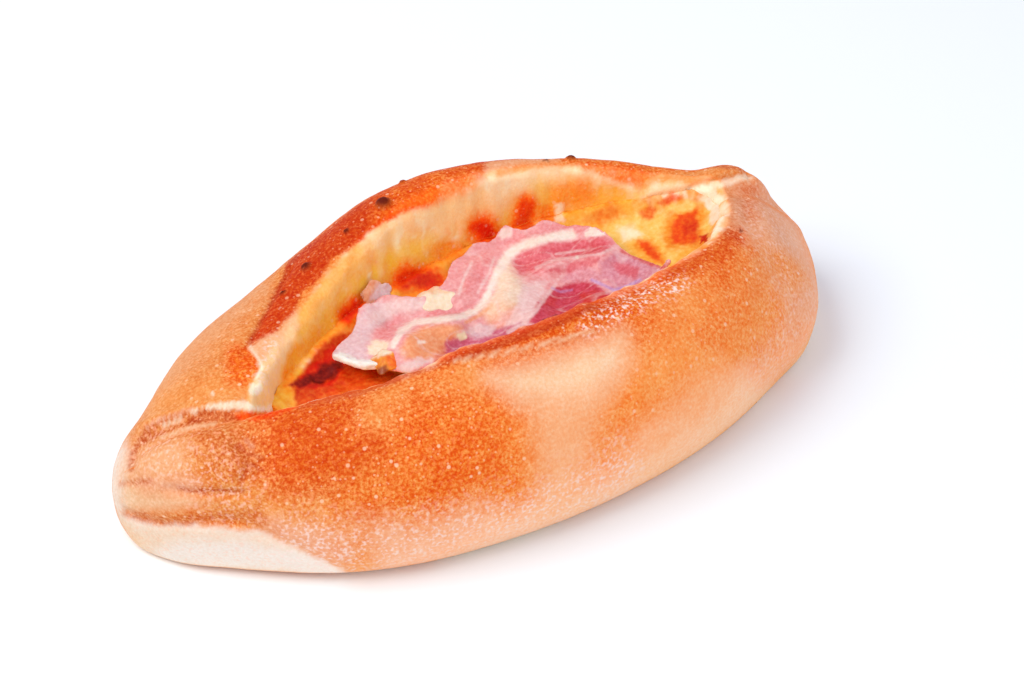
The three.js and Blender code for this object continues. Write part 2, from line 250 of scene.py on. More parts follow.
# Lines of pixels that both relief and paint follow
NOSE_GROOVE = [
    (131, 468), (133, 455), (138, 445), (148, 436), (160, 429), (172, 423), (185, 418), (200, 416),
    (220, 417), (240, 419),
]
TORN_STRIP = [(197, 410), (206, 405), (222, 402), (240, 403), (248, 408), (257, 411)]
UPPER_WRINKLE = [(168, 488), (193, 492), (216, 492), (244, 493)]
LOWER_CREASE = [(125, 512), (135, 519), (160, 523), (190, 524), (216, 521), (240, 522)]
RIM_CREASE = [(290, 268), (275, 292), (262, 318), (252, 340), (243, 352)]
NEAR_RIM = [
    (290, 404), (330, 396), (380, 381), (430, 368), (480, 352), (524, 336), (550, 327), (575, 316),
    (599, 304),
]
NEAR_RIM_END = [(599, 304), (623, 293), (646, 282), (670, 272), (690, 265), (718, 254), (735, 238)]
STEP_BELOW_RIM = [(455, 361), (490, 355), (530, 346), (560, 339), (592, 331)]
END_RING = [(640, 198), (655, 190), (680, 185), (705, 189), (721, 205), (722, 220), (714, 233)]
FAR_CREASE = [(690, 189), (712, 182), (735, 177), (752, 174)]
FAR_LIP = [(482, 184), (514, 176), (535, 171), (556, 169), (590, 173), (612, 182), (634, 190)]

# Relief of the crust: millimetres of height, millimetres of half width, and the pixels that it follows
CRUST_RELIEF = {
    "groove round the nose": (-1.4, 2.0, NOSE_GROOVE),
    "roll over the groove": (1.2, 2.4, [(142, 427), (160, 420), (180, 414)]),
    "lump of the nose": (1.8, 13.0, [(165, 462), (205, 452)]),
    "hollow beside the lump": (-1.6, 5.0, [(248, 436), (262, 458)]),
    "fold beside the lump": (-0.9, 1.2, [(235, 445), (245, 455), (258, 468)]),
    "crack below the fold": (-0.7, 1.0, [(246, 470), (240, 480)]),
    "upper wrinkle": (-0.9, 1.3, UPPER_WRINKLE),
    "dotted wrinkle": (-0.6, 1.1, [(121, 483), (135, 484), (150, 483)]),
    "lower crease": (-0.9, 1.8, LOWER_CREASE),
    "edge of the underside": (-0.7, 1.6, [(250, 527), (275, 538), (300, 550), (330, 566)]),
    "torn strip": (0.6, 1.4, TORN_STRIP),
    "near rim at the bacon": (2.4, 5.0, [(455, 360), (500, 345), (550, 328), (580, 315)]),
    "near rim past the bacon": (-1.2, 4.0, [(625, 292), (650, 281)]),
    "crease outside the rim": (-0.9, 1.2, RIM_CREASE),
    "step below the near rim": (-0.6, 2.2, [(x, y + 6) for x, y in STEP_BELOW_RIM]),
    "lit ridge below the near rim": (0.5, 1.1, STEP_BELOW_RIM),
    "stretched dough": (-0.8, 10.0, [(500, 388), (560, 378), (610, 358)]),
    "ring at the far end": (1.5, 2.0, END_RING),
    "crease of the far nose": (-1.6, 1.2, FAR_CREASE),
    "second crease of the far nose": (-0.8, 1.0, [(704, 176), (716, 181)]),
    "lip of the far wall": (0.3, 1.6, FAR_LIP),
    "flank of the far nose": (-1.0, 5.0, [(742, 196), (748, 216), (744, 232)]),
    "dip before the far nose": (-2.2, 6.0, [(660, 170), (690, 168)]),
    "corner of the far nose": (0.7, 6.0, [(742, 170), (760, 182)]),
    "flat of the far flank": (-1.3, 9.0, [(778, 205), (796, 240)]),
}

# Baked bubbles on the far rim: their height and their edge as shares of the radius
BUBBLE_HEIGHT = 0.75
BUBBLE_EDGE = (0.55, 1.15)

# Each bubble's pixel, and millimetres of its radius
BUBBLES = {
    "largest": ((383, 203), 2.5),
    "left": ((306, 267), 1.7),
    "top": ((571, 157), 1.6),
    "beside the largest": ((402, 181), 1.2),
    "between": ((346, 231), 1.0),
    "low": ((283, 293), 1.0),
    "right": ((546, 160), 0.9),
}

# Soft shades of the crust: colour, millimetres of half width, share of cover, and the pixels
CRUST_SHADES = {
    "nose": ("tan", 16, 0.9, [(165, 458), (205, 452)]),
    "right of the nose": ("light orange", 9, 0.8, [(262, 498), (285, 505), (310, 498)]),
    "beside the underside": ("pink peach", 5, 0.6, [(275, 530), (340, 556)]),
    "dark place by the nose": ("browned orange", 13, 1.0, [
        (290, 435), (330, 435), (350, 452), (300, 462),
    ]),
    "dark place below the rim": ("browned orange", 6, 0.8, [(285, 415), (350, 402)]),
    "gap between the dark places": ("light orange", 6, 0.8, [(380, 412), (400, 402), (470, 378)]),
    "second dark place": ("deep orange", 11, 0.95, [(430, 412), (455, 432), (482, 446), (440, 470)]),
    "low end of the second dark place": ("deep orange", 8, 0.6, [(370, 500), (430, 490)]),
    "right of the pale dough": ("light orange", 12, 0.7, [(650, 365), (690, 345), (690, 300)]),
    "third dark place": ("deep orange", 6, 0.5, [(712, 334), (738, 310), (764, 272)]),
    "tan end": ("tan", 12, 0.75, [(750, 350), (770, 300), (765, 250)]),
    "rosy flank": ("rose tan", 11, 0.8, [(772, 196), (800, 258)]),
    "shaded end": ("grey pink", 9, 0.6, [(806, 238), (819, 280), (819, 312)]),
    "low end": ("rose tan", 8, 0.7, [(806, 336), (778, 375), (745, 405)]),
    "foot of the wall": ("foot peach", 9, 0.9, [
        (400, 566), (460, 552), (540, 525), (620, 490), (700, 440), (745, 402),
    ]),
    "far left wall": ("tan", 16, 0.8, [(200, 370), (220, 350), (245, 318)]),
    # Painted highlight: paler peach along the far left wall's outline, where the light grazes it
    "lit back of the far left wall": ("peach", 5, 0.5, [(150, 400), (180, 358), (215, 322), (255, 290)]),
    "front of the left wall": ("light orange", 7, 0.8, [(165, 408), (200, 396), (236, 394)]),
    "far nose": ("tan", 7, 0.8, [(690, 170), (715, 168), (740, 172)]),
    "foot by the underside": ("foot peach", 6, 0.3, [(305, 536), (345, 532), (385, 530)]),
    "left of the low roll": ("pale dough", 5, 0.7, [(122, 470), (122, 500)]),
    "orange of the flank": ("tan", 5, 0.8, [(778, 262), (795, 275)]),
    "above the foot": ("foot peach", 7, 0.4, [(395, 545), (480, 520)]),
    "above the right foot": ("peach", 8, 0.5, [(640, 450), (715, 385)]),
}

# Patches of the crust: colour, pixels that the edge fades over, share of cover, and the pixels round it
CRUST_PATCHES = {
    "pale stretched dough": ("pale dough", 24, 1.0, [
        (488, 378), (590, 344), (622, 336), (628, 362), (600, 396), (560, 406), (518, 400),
    ]),
    "pale drop of the dough": ("peach", 26, 0.8, [
        (528, 398), (604, 390), (578, 505), (540, 512), (538, 450),
    ]),
    # Painted highlight: paler peach on the lit part of the nose's lump
    "highlight of the nose": ("peach", 18, 0.8, [
        (126, 472), (145, 446), (170, 441), (188, 446), (180, 478), (150, 482),
    ]),
    "brown of the nose": ("nose brown", 24, 0.7, [
        (196, 428), (240, 426), (256, 446), (252, 472), (232, 482), (214, 466),
    ]),
    "pale fold of the nose": ("pink peach", 10, 0.7, [
        (140, 478), (200, 480), (198, 491), (160, 492), (138, 486),
    ]),
    "low roll of the nose": ("pale dough", 12, 0.75, [(120, 488), (212, 502), (150, 512), (120, 508)]),
    "right of the low roll": ("tan", 12, 0.8, [(205, 498), (262, 500), (266, 520), (210, 516)]),
    "band of the lower crease": ("nose brown", 4, 0.55, [
        (123, 508), (150, 514), (200, 514), (262, 510), (268, 524), (160, 525), (126, 517),
    ]),
    # Painted highlight: the lit left edge of the nose, in the pale colour that the underside also takes
    "lit edge of the nose": ("flour and highlight", 12, 0.9, [
        (100, 455), (122, 440), (127, 452), (121, 475), (120, 505), (122, 518), (100, 515),
    ]),
    "pale underside": ("flour and highlight", 4, 0.95, [
        (122, 516), (160, 525), (215, 526), (264, 533), (352, 574), (360, 600), (90, 600), (90, 530),
    ]),
    "blush of the underside": ("pale dough", 9, 0.55, [
        (132, 524), (200, 527), (262, 534), (302, 552), (240, 541), (180, 541), (152, 552), (135, 540),
    ]),
    "corner of the underside": ("pale dough", 6, 0.85, [
        (105, 512), (124, 519), (138, 534), (150, 554), (175, 570), (130, 575), (100, 545),
    ]),
    "foot of the underside": ("pale dough", 4, 0.7, [
        (150, 557), (180, 564), (300, 572), (300, 600), (150, 600),
    ]),
    "left wall at the opening": ("red orange", 9, 1.0, [
        (228, 346), (250, 345), (258, 358), (262, 370), (252, 382), (240, 388), (226, 380),
    ]),
    "right of the ring": ("rose tan", 12, 0.8, [
        (728, 180), (752, 177), (772, 185), (780, 235), (755, 240), (730, 235),
    ]),
    "rosy patch": ("nose brown", 9, 0.55, [(740, 184), (757, 186), (758, 215), (752, 222), (742, 215)]),
    "far rim, right": ("red orange", 4, 0.8, [
        (574, 160), (620, 162), (662, 172), (640, 188), (612, 182), (585, 172),
    ]),
    "far rim, left": ("rim red", 2.5, 1.0, [
        (288, 250), (283, 276), (268, 308), (246, 348), (262, 341), (278, 331), (290, 319), (304, 291),
        (315, 283), (331, 261), (385, 223), (404, 213), (428, 206), (440, 196), (430, 170), (400, 172),
        (370, 190), (335, 215), (305, 240),
    ]),
    "far rim, middle": ("deep orange", 8, 0.85, [
        (428, 206), (470, 190), (484, 180), (484, 166), (455, 160), (428, 170),
    ]),
    "far rim, top": ("red orange", 9, 0.7, [
        (372, 226), (404, 210), (430, 204), (442, 190), (430, 172), (400, 176), (375, 195),
    ]),
    "torn flap": ("peach", 3.5, 0.95, [
        (249, 347), (258, 340), (280, 330), (298, 309), (300, 326), (282, 368), (277, 402), (268, 412),
        (248, 410), (249, 389), (262, 374), (258, 358),
    ]),
    "white tips of the flap": ("cream", 1.6, 0.9, [
        (248, 390), (252, 383), (257, 386), (260, 379), (261, 390), (256, 396),
    ]),
    "band below the torn strip": ("rust", 2, 0.65, [
        (184, 417), (197, 411), (215, 409), (240, 411), (240, 420), (195, 422),
    ]),
    "orange below the torn strip": ("vivid orange", 2.5, 0.95, [
        (232, 413), (246, 410), (262, 412), (300, 404), (285, 413), (262, 420), (238, 421),
    ]),
    "torn strip": ("cream", 1.5, 1.0, [
        (190, 412), (198, 407), (228, 401), (246, 401), (258, 407), (290, 403), (276, 409), (262, 412),
        (248, 410), (205, 409), (196, 413),
    ]),
    "behind the ring": ("tan", 5, 0.9, [
        (645, 188), (652, 178), (700, 168), (745, 171), (738, 178), (700, 183), (660, 182),
    ]),
    "left of the ring": ("pale dough", 3, 0.85, [
        (641, 197), (650, 188), (660, 184), (682, 183), (697, 186), (692, 193), (666, 191), (654, 199),
    ]),
    "ring at the far end": ("cream", 2.5, 0.9, [
        (688, 188), (702, 186), (718, 192), (727, 203), (727, 216), (720, 229), (711, 239), (706, 234),
        (711, 224), (710, 211), (704, 200), (692, 196),
    ]),
    "crease of the far nose": ("cream", 2, 0.7, [
        (690, 190), (705, 183), (752, 173), (753, 178), (706, 193),
    ]),
    "near rim band": ("rim red", 3, 0.9, [
        (436, 362), (455, 350), (480, 342), (604, 292), (606, 304), (540, 336), (455, 362),
    ]),
}

# Crisp marks of the crust: the same values as its shades
CRUST_MARKS = {
    "dark edge of the far rim": ("rim brown", 0.8, 0.6, [(296, 257), (286, 272), (277, 292), (250, 342)]),
    "far rim, pale": ("peach", 2.6, 0.8, [(492, 166), (520, 162), (552, 161)]),
    "far rim, streak": ("orange", 1.6, 0.7, [(500, 173), (530, 167), (560, 165)]),
    "dark top of the far nose": ("rust", 0.9, 0.7, [(690, 168), (712, 165), (735, 167), (752, 174)]),
    "near rim": ("rim brown", 1.0, 0.6, NEAR_RIM),
    "near rim to the far end": ("browned orange", 3.2, 0.85, NEAR_RIM_END),
    "lip at the opening": ("light orange", 0.7, 0.9, [(290, 402), (310, 398), (380, 379)]),
    "shadow below the lip": ("rust", 0.9, 0.7, [(385, 384), (420, 370)]),
    "outer line of the groove": ("rust", 1.2, 0.5, [
        (131, 468), (133, 455), (138, 444), (146, 433), (156, 425), (168, 418), (184, 415),
    ]),
    "inner line of the groove": ("rust", 0.8, 0.55, [(143, 443), (150, 438), (172, 428), (198, 420)]),
    "light between the lines": ("cream", 0.6, 0.7, [(163, 426), (182, 419)]),
    "pale edge of the roll": ("pink peach", 0.6, 0.8, [(146, 427), (160, 419), (192, 409)]),
    "pale line of the lump": ("pale dough", 0.6, 0.7, [(160, 438), (190, 428), (215, 424)]),
    # Painted highlight: a small greyish pale spot beside the nose's lump
    "highlight beside the lump": ("pink peach", 1.0, 0.5, [(246, 441), (252, 447)]),
    "fold beside the lump": ("rust", 0.9, 0.7, [(238, 444), (246, 453), (262, 458)]),
    "second fold beside the lump": ("rust", 0.6, 0.6, [(246, 462), (264, 471)]),
    "crack below the fold": ("rust", 0.8, 0.7, [(250, 470), (242, 478), (241, 485)]),
    "upper wrinkle": ("rust", 1.0, 0.6, [(200, 491), (243, 492)]),
    "start of the upper wrinkle": ("rust", 0.5, 0.6, [(178, 487), (190, 491), (200, 491)]),
    "dotted wrinkle": ("nose brown", 1.0, 0.5, [(121, 484), (150, 481)]),
    "lower crease": ("rust", 0.9, 0.3, [(124, 514), (150, 523), (192, 524)]),
    "white edge of the flap": ("cream", 0.6, 0.8, [(250, 347), (257, 356), (262, 368), (256, 378)]),
    "white spot": ("cream", 0.6, 0.8, [(212, 394)]),
    # Painted highlight: a pale line along the lit edge of the step below the near rim
    "lit ridge below the near rim": ("pale dough", 0.7, 0.6, STEP_BELOW_RIM),
    "lip of the far wall": ("pale dough", 0.9, 0.5, FAR_LIP),
    "spot of the far nose": ("soot and shadow", 0.6, 0.8, [(741, 231)]),
    "sliver on the near rim": ("white", 0.5, 0.9, [(377, 382), (391, 375)]),
}

# White flecks of the crust: millimetres of half width, share of cover, and the pixels that they lie along
FLECKED = {
    "near rim": (3.6, 0.85, [(592, 325), (625, 306), (660, 291), (680, 286)]),
    "foot of the wall": (9.0, 0.55, [
        (300, 540), (360, 548), (430, 540), (500, 520), (560, 500), (620, 470),
    ]),
    "nose": (11.0, 0.3, [(165, 458), (205, 470), (235, 500)]),
    "flap": (3.0, 0.6, [(272, 345), (266, 372), (264, 395)]),
    "far end": (8.0, 0.3, [(760, 210), (785, 260), (800, 320), (770, 370)]),
}

# Soft shades of the hollow: its walls, and the cheese
FILLING_SHADES = {
    "upper left wall": ("wall yellow", 6, 0.9, [(286, 336), (316, 297), (352, 260)]),
    "yellow corner": ("yellow", 2.4, 0.8, [(284, 394), (292, 394)]),
    "orange glow": ("amber", 4, 0.8, [(322, 340), (338, 328), (346, 318)]),
    "pale middle wall": ("wall peach", 6, 0.7, [(385, 232), (430, 212), (462, 200)]),
    "yellow middle wall": ("yellow", 4, 0.6, [(390, 262), (425, 245)]),
    "pale upper wall": ("wall peach", 5, 0.9, [(445, 212), (492, 204), (545, 190)]),
    "peach right wall": ("pale dough", 5, 0.7, [(500, 185), (540, 178), (575, 180)]),
    "yellow right wall": ("yellow", 5, 0.8, [(545, 195), (625, 205)]),
}

# Patches of the hollow: the same values as the crust's
FILLING_PATCHES = {
    "ochre foot of the left wall": ("ochre", 5, 0.85, [
        (283, 362), (292, 345), (318, 330), (318, 345), (300, 365), (294, 390), (278, 400),
    ]),
    "deep ochre corner": ("deep ochre", 3, 0.8, [(282, 372), (296, 366), (292, 382), (280, 392)]),
    "red floor": ("red floor", 4, 1.0, [
        (292, 390), (316, 350), (334, 336), (352, 330), (352, 352), (398, 374), (398, 392), (345, 410),
        (298, 416),
    ]),
    "burnt edge": ("burnt", 3, 0.9, [
        (287, 386), (334, 346), (346, 356), (344, 372), (330, 386), (305, 389),
    ]),
    "burnt floor": ("charred", 3, 1.0, [
        (291, 385), (316, 371), (323, 362), (340, 360), (343, 369), (334, 378), (322, 384), (306, 386),
    ]),
    "burnt strip": ("burnt", 2, 0.8, [(318, 394), (336, 388), (342, 390), (328, 395)]),
    "floor by the near lip": ("floor orange", 5, 0.8, [
        (300, 400), (385, 374), (402, 372), (402, 392), (345, 412), (300, 418),
    ]),
    "orange of the floor": ("browned", 3, 0.6, [(356, 374), (372, 368), (380, 372), (366, 378)]),
    "bright cheese": ("bright yellow", 6, 0.9, [
        (603, 224), (640, 214), (664, 222), (664, 244), (636, 241), (620, 250), (608, 240),
    ]),
    "glare on the cheese": ("glare", 4, 0.9, [(618, 228), (634, 226), (641, 236), (624, 241)]),
    "bright cheese by the end": ("bright yellow", 4, 0.8, [
        (662, 240), (672, 247), (684, 248), (676, 258), (666, 262), (662, 252),
    ]),
    "cream by the ring": ("bright yellow", 3, 0.8, [(702, 222), (711, 214), (712, 230), (705, 236)]),
    "glow of the end": ("amber", 5, 0.95, [
        (661, 240), (667, 212), (684, 206), (702, 206), (708, 216), (702, 226), (704, 247), (668, 249),
    ]),
    "browned end": ("browned", 3, 1.0, [
        (670, 228), (678, 215), (698, 208), (698, 240), (690, 244), (672, 244),
    ]),
    "burnt end": ("burnt", 4, 0.5, [(682, 222), (697, 216), (697, 236), (684, 236)]),
    "bright bar": ("bright yellow", 2, 0.9, [(668, 209), (686, 200), (700, 203), (690, 211), (676, 213)]),
    "arc of the end": ("browned", 2.5, 0.85, [
        (657, 203), (668, 194), (684, 195), (680, 199), (668, 205),
    ]),
    "spot by the arc": ("browned", 3, 0.8, [(640, 214), (650, 205), (657, 208), (653, 217), (642, 219)]),
    "end spot": ("burnt", 1.2, 1.0, [(700, 236), (707, 234), (707, 241), (701, 243)]),
    "glow by the bacon": ("amber", 4, 0.8, [
        (634, 240), (652, 240), (664, 254), (664, 264), (648, 260), (636, 248),
    ]),
    "browned by the bacon": ("browned", 2.5, 1.0, [
        (639, 241), (650, 243), (660, 255), (662, 263), (650, 257), (641, 248),
    ]),
    "ring over the cheese": ("cream", 2, 0.9, [
        (704, 200), (712, 196), (722, 205), (720, 220), (711, 224), (710, 211),
    ]),
    "strand of fat": ("fat peach", 1.5, 0.85, [
        (555, 221), (556, 206), (562, 202), (564, 206), (560, 214), (566, 221),
    ]),
}

# Browned spots: the widths of the glow round each and of its core, as shares of its half width
GLOW_WIDTH = 1.45
CORE_WIDTH = 1.15

# How strongly glow, core and burnt middle are laid, and how much of each colour shows by depth
GLOW_GAIN = 1.2
GLOW_COVER = 0.9
CORE_GAIN = 1.6
BURNT_CORE = (0.5, 1.0)
AMBER_BY_DEPTH = [(0, 5 / 6), (0.5, 1)]
BROWNED_BY_DEPTH = [(4 / 15, 1), (0, 1)]
BURNT_BY_DEPTH = [(2 / 3, 1), (0, 1)]

# Each spot's millimetres of half width, how far it is browned, and its pixels
BROWNED_SPOTS = {
    "by the scrap": (2.6, 1.0, [(356, 306), (348, 316)]),
    "large": (3.8, 0.95, [(405, 280), (418, 279), (432, 281)]),
    "second": (2.4, 0.5, [(442, 252), (455, 250)]),
    "darkest": (3.8, 1.0, [(482, 229), (486, 233)]),
    "third": (2.8, 0.9, [(526, 206), (522, 222)]),
    "fourth": (2.0, 0.65, [(546, 212), (547, 217)]),
    "upper": (3.4, 0.45, [(564, 196), (580, 192)]),
    "beside the upper": (2.2, 0.5, [(602, 218), (611, 212)]),
    "dot": (0.6, 1.0, [(629, 227)]),
}

# Patches of the bacon: the same values as the crust's
BACON_PATCHES = {
    "left end": ("lilac", 6, 0.7, [
        (325, 358), (344, 335), (366, 300), (382, 300), (394, 312), (388, 322), (374, 330), (368, 346),
        (366, 368), (338, 368),
    ]),
    "pale band": ("pale lean", 5, 0.9, [
        (364, 325), (372, 312), (392, 300), (424, 296), (430, 306), (400, 313), (384, 322),
    ]),
    "pink band": ("pink lean", 3, 0.9, [
        (373, 333), (388, 322), (400, 317), (425, 311), (445, 310), (470, 305), (481, 295), (486, 301),
        (472, 312), (445, 317), (420, 319), (405, 326), (392, 338), (380, 342),
    ]),
    "upper lean": ("lean", 6, 0.7, [
        (450, 290), (455, 268), (480, 246), (504, 240), (500, 256), (488, 285), (470, 300),
    ]),
    "streak of the upper lean": ("pink lean", 2.5, 0.9, [
        (462, 294), (470, 274), (482, 258), (492, 256), (476, 292),
    ]),
    "fat body": ("cream", 6, 0.8, [
        (497, 272), (508, 260), (516, 274), (526, 285), (523, 302), (506, 314), (490, 320), (480, 312),
        (492, 296),
    ]),
    "peach fat": ("fat orange", 7, 0.4, [
        (482, 314), (496, 300), (516, 302), (520, 318), (500, 333), (486, 322),
    ]),
    "tail of the fat": ("pale lean", 4, 0.8, [
        (522, 284), (548, 282), (540, 302), (526, 326), (506, 338), (494, 337), (516, 310),
    ]),
    "far edge": ("pink lean", 3, 0.8, [
        (500, 243), (530, 230), (560, 221), (592, 225), (576, 233), (546, 236), (520, 245),
    ]),
    "large lean": ("deep lean", 3.5, 1.0, [
        (513, 262), (525, 251), (545, 244), (600, 237), (614, 244), (606, 253), (590, 258), (570, 256),
        (550, 263), (536, 273), (520, 273),
    ]),
    "red of the large lean": ("red lean", 4, 0.8, [
        (545, 252), (575, 243), (612, 241), (602, 250), (560, 256),
    ]),
    "second lean": ("red lean", 3, 0.8, [(544, 272), (560, 264), (602, 257), (592, 266), (570, 273)]),
    "pale middle": ("rosy lilac", 4, 0.6, [(560, 282), (575, 270), (592, 267), (606, 278), (598, 286)]),
    # Partly the lean's own deep colour and partly painted shadow, where the slice dips below the near rim;
    # the red by the rim as well
    "shaded magenta lean": ("shaded magenta lean", 2.5, 1.0, [
        (538, 305), (552, 290), (565, 283), (586, 280), (614, 295), (600, 306), (560, 324), (538, 330),
        (528, 322),
    ]),
    "red by the rim": ("blood red", 2.5, 0.85, [
        (580, 295), (600, 291), (612, 296), (600, 304), (584, 308),
    ]),
    "red by the white line": ("blood red", 2.5, 0.5, [(544, 304), (552, 296), (560, 296), (556, 306)]),
    "right end": ("rosy lilac", 4, 0.85, [
        (600, 262), (615, 253), (640, 258), (658, 268), (664, 276), (640, 286), (615, 292), (602, 276),
    ]),
    "red of the right end": ("red lean", 3, 0.75, [
        (612, 265), (625, 262), (640, 268), (636, 277), (620, 275),
    ]),
    "hump": ("fat orange", 5, 1.0, [
        (400, 353), (408, 335), (425, 325), (450, 323), (462, 328), (455, 345), (428, 360), (405, 360),
    ]),
    # Painted shade: the darker side of the hump, by the near rim
    "shaded side of the hump": ("shaded fat brown", 3, 0.85, [
        (441, 346), (450, 334), (457, 338), (448, 360), (434, 366),
    ]),
    # Partly the lean's own colour and partly painted shadow of the near rim
    "plum shadow by the rim": ("plum", 3, 0.95, [
        (446, 342), (470, 333), (522, 324), (530, 334), (500, 352), (465, 362), (446, 362),
    ]),
    "lilac sheen": ("lilac", 3, 0.7, [(464, 332), (480, 325), (496, 327), (490, 336), (470, 338)]),
    "rind": ("white", 1.5, 1.0, [(328, 357), (340, 353), (350, 357), (380, 360), (384, 372), (338, 370)]),
    "cream by the curl": ("cream", 2, 0.9, [
        (367, 346), (376, 340), (389, 343), (384, 353), (376, 358), (369, 353),
    ]),
    "scrap by the rim": ("pale lean", 1.5, 0.95, [(399, 366), (422, 356), (433, 360), (406, 376)]),
    "white crumbs": ("fat", 1.8, 0.9, [
        (584, 232), (592, 227), (605, 226), (608, 234), (596, 237), (586, 236),
    ]),
    "crumb of the far edge": ("fat", 1.8, 0.7, [
        (498, 236), (502, 229), (512, 228), (512, 238), (502, 240),
    ]),
    "yellow crumb": ("glare", 1.2, 0.9, [(458, 335), (464, 333), (466, 337), (460, 338)]),
}

# Crisp marks of the bacon: colour, millimetres of half width, share of cover, and the pixels
BACON_MARKS = {
    "pale vein": ("pale lean", 0.5, 0.7, [(459, 294), (464, 278), (472, 262)]),
    "second pale vein": ("pale lean", 0.5, 0.6, [(478, 292), (489, 274), (494, 258)]),
    "marbling": ("pale lean", 0.5, 0.6, [(536, 268), (548, 262), (560, 259), (600, 254), (612, 249)]),
    "second marbling": ("pale lean", 0.4, 0.6, [(556, 254), (584, 250)]),
    "white dot": ("fat", 0.6, 0.9, [(577, 257)]),
    "white line": ("pale lean", 0.7, 0.7, [(556, 284), (546, 296), (537, 310), (524, 324), (508, 332)]),
    "violet sheen": ("violet", 0.6, 0.75, [(592, 280), (614, 290), (626, 287), (640, 280)]),
    "second violet sheen": ("violet", 0.4, 0.5, [(552, 288), (560, 292), (572, 290)]),
    "dark edge of the right end": ("blood red", 0.8, 0.7, [(622, 251), (652, 264), (664, 267)]),
    "stripe": ("fat", 1.1, 0.9, [
        (393, 346), (401, 331), (415, 322), (460, 317), (475, 311), (486, 299), (499, 268),
    ]),
    "white of the stripe": ("fat", 1.6, 1.0, [
        (499, 270), (508, 255), (520, 247), (535, 241), (552, 237), (572, 235),
    ]),
    "orange crease": ("fat orange", 0.7, 0.7, [(466, 322), (478, 316), (492, 306)]),
    "pale spot of the hump": ("fat", 0.6, 0.8, [(419, 342), (424, 342)]),
    # Painted shadow: a dark mark in the gap between the bacon and the near rim
    "shadow in the gap": ("soot and shadow", 0.7, 0.95, [(544, 321), (556, 317)]),
}

# Folds of the bacon: millimetres of height, millimetres of half width, and the pixels
BACON_FOLDS = {
    "hump": (3.0, 6.0, [(408, 346), (428, 340), (448, 332)]),
    "dip behind the hump": (-1.4, 2.6, [(462, 344), (472, 330)]),
    "band above the stripe": (-1.4, 2.8, [(390, 322), (419, 313), (441, 312), (464, 308), (482, 296)]),
    "pale band": (1.4, 4.0, [(366, 318), (385, 310), (408, 304)]),
    "rise below the stripe": (1.6, 4.0, [(508, 276), (514, 292), (502, 308)]),
    "dip of the large lean": (-1.2, 4.0, [(528, 262), (555, 252), (585, 246)]),
    "ridge of the marbling": (1.2, 3.0, [(548, 272), (575, 262), (602, 256)]),
    "dip of the shaded magenta lean": (-1.3, 4.0, [(575, 290), (556, 302)]),
    "far edge": (-0.8, 3.0, [(470, 255), (500, 240), (530, 231), (570, 227)]),
    "rind": (1.0, 2.0, [(333, 357), (345, 363), (360, 366), (376, 367)]),
}

# Loose scraps of fat: the colour of each, and its patches, with the same values as the bacon's
SCRAP_TONES = {"torn_scrap": "rose tan", "folded_fat": "fat peach", "browned_curl": "amber"}
SCRAP_PATCHES = {
    "torn_scrap": {
        "pale end": ("lilac", 3, 0.9, [(370, 300), (376, 284), (392, 282), (394, 300)]),
    },
    "folded_fat": {
        "white fold": ("cream", 2.5, 1.0, [
            (408, 304), (425, 295), (462, 292), (462, 312), (440, 316), (412, 312),
        ]),
        "browned edge": ("fat orange", 3, 0.5, [(426, 288), (434, 280), (438, 284), (432, 292)]),
    },
    "browned_curl": {
        "cream top": ("cream", 2.5, 1.0, [
            (362, 348), (376, 336), (396, 340), (392, 353), (378, 358), (366, 358),
        ]),
        "orange side": ("vivid orange", 3, 0.6, [(386, 357), (402, 354), (402, 368), (388, 366)]),
        # Painted shade: the dark hollow under the curl, by the near rim
        "shaded hollow": ("shaded hollow", 1.8, 0.9, [
            (377, 368), (386, 365), (391, 370), (384, 380), (376, 380),
        ]),
    },
}

# Fine grain of each food: millimetres of its size, and how far it deepens and pales the colour
CRUST_GRAIN = {"size": 0.9, "deeper": 0.4, "paler": -0.36}
CRUST_BLOTCH = {"size": 6.0, "deeper": 0.13, "paler": -0.13}
CHEESE_GRAIN = {"size": 1.5, "deeper": 0.22, "paler": -0.2}
BACON_FIBRE = {"size": 1.2, "deeper": 0.2, "paler": -0.18}

# Where the crust is speckled: by the green in its colour, which falls as it browns and then burns
BROWNED_GREEN = (0.45, 0.16)
BURNT_GREEN = (0.16, 0.06)
BURNT_SMOOTH = 0.8
LEAST_SPECKLE = 0.4
WALL_SMOOTH = 0.4

# Speckle of the crust: millimetres of size or of spacing, share of cover, and its colour in linear light
CRUMBS = {"size": 1.1, "cover": 0.5, "colour": (0.95, 0.33, 0.1, 1.0)}
BLISTERS = {"spacing": 4.2, "edge": (0.16, 0.1), "cover": 0.7, "colour": (0.95, 0.64, 0.42, 1.0)}
SMALL_BLISTERS = {"spacing": 1.9, "edge": (0.2, 0.12), "cover": 0.5, "colour": (0.95, 0.55, 0.32, 1.0)}
FLECKS = {"size": 1.1, "colour": (0.93, 0.82, 0.76, 1.0)}

# Factors that scramble whole numbers
SCRAMBLE_BY_AXIS = np.array([73856093, 19349663, 83492791])
SCRAMBLE_BY_SEED = 1299709
SCRAMBLE_ROUNDS = [(13, 1274126177), (16, 668265263)]
SCRAMBLE_LIMIT = 0x7FFFFFFF


# Mathematics

def linear(colour):
    """An sRGB colour from 0 to 255 as linear light from 0 to 1."""
    share = np.array(colour, float) / 255
    return np.where(share <= 0.04045, share / 12.92, ((share + 0.055) / 1.055) ** 2.4)


TONES = {name: linear(colour) for name, colour in COLOURS.items()}


def ease(low, high, values):
    """0 below low, 1 above high, and a smooth way between them."""
    share = np.clip((values - low) / (high - low), 0, 1)
    return share * share * (3 - 2 * share)


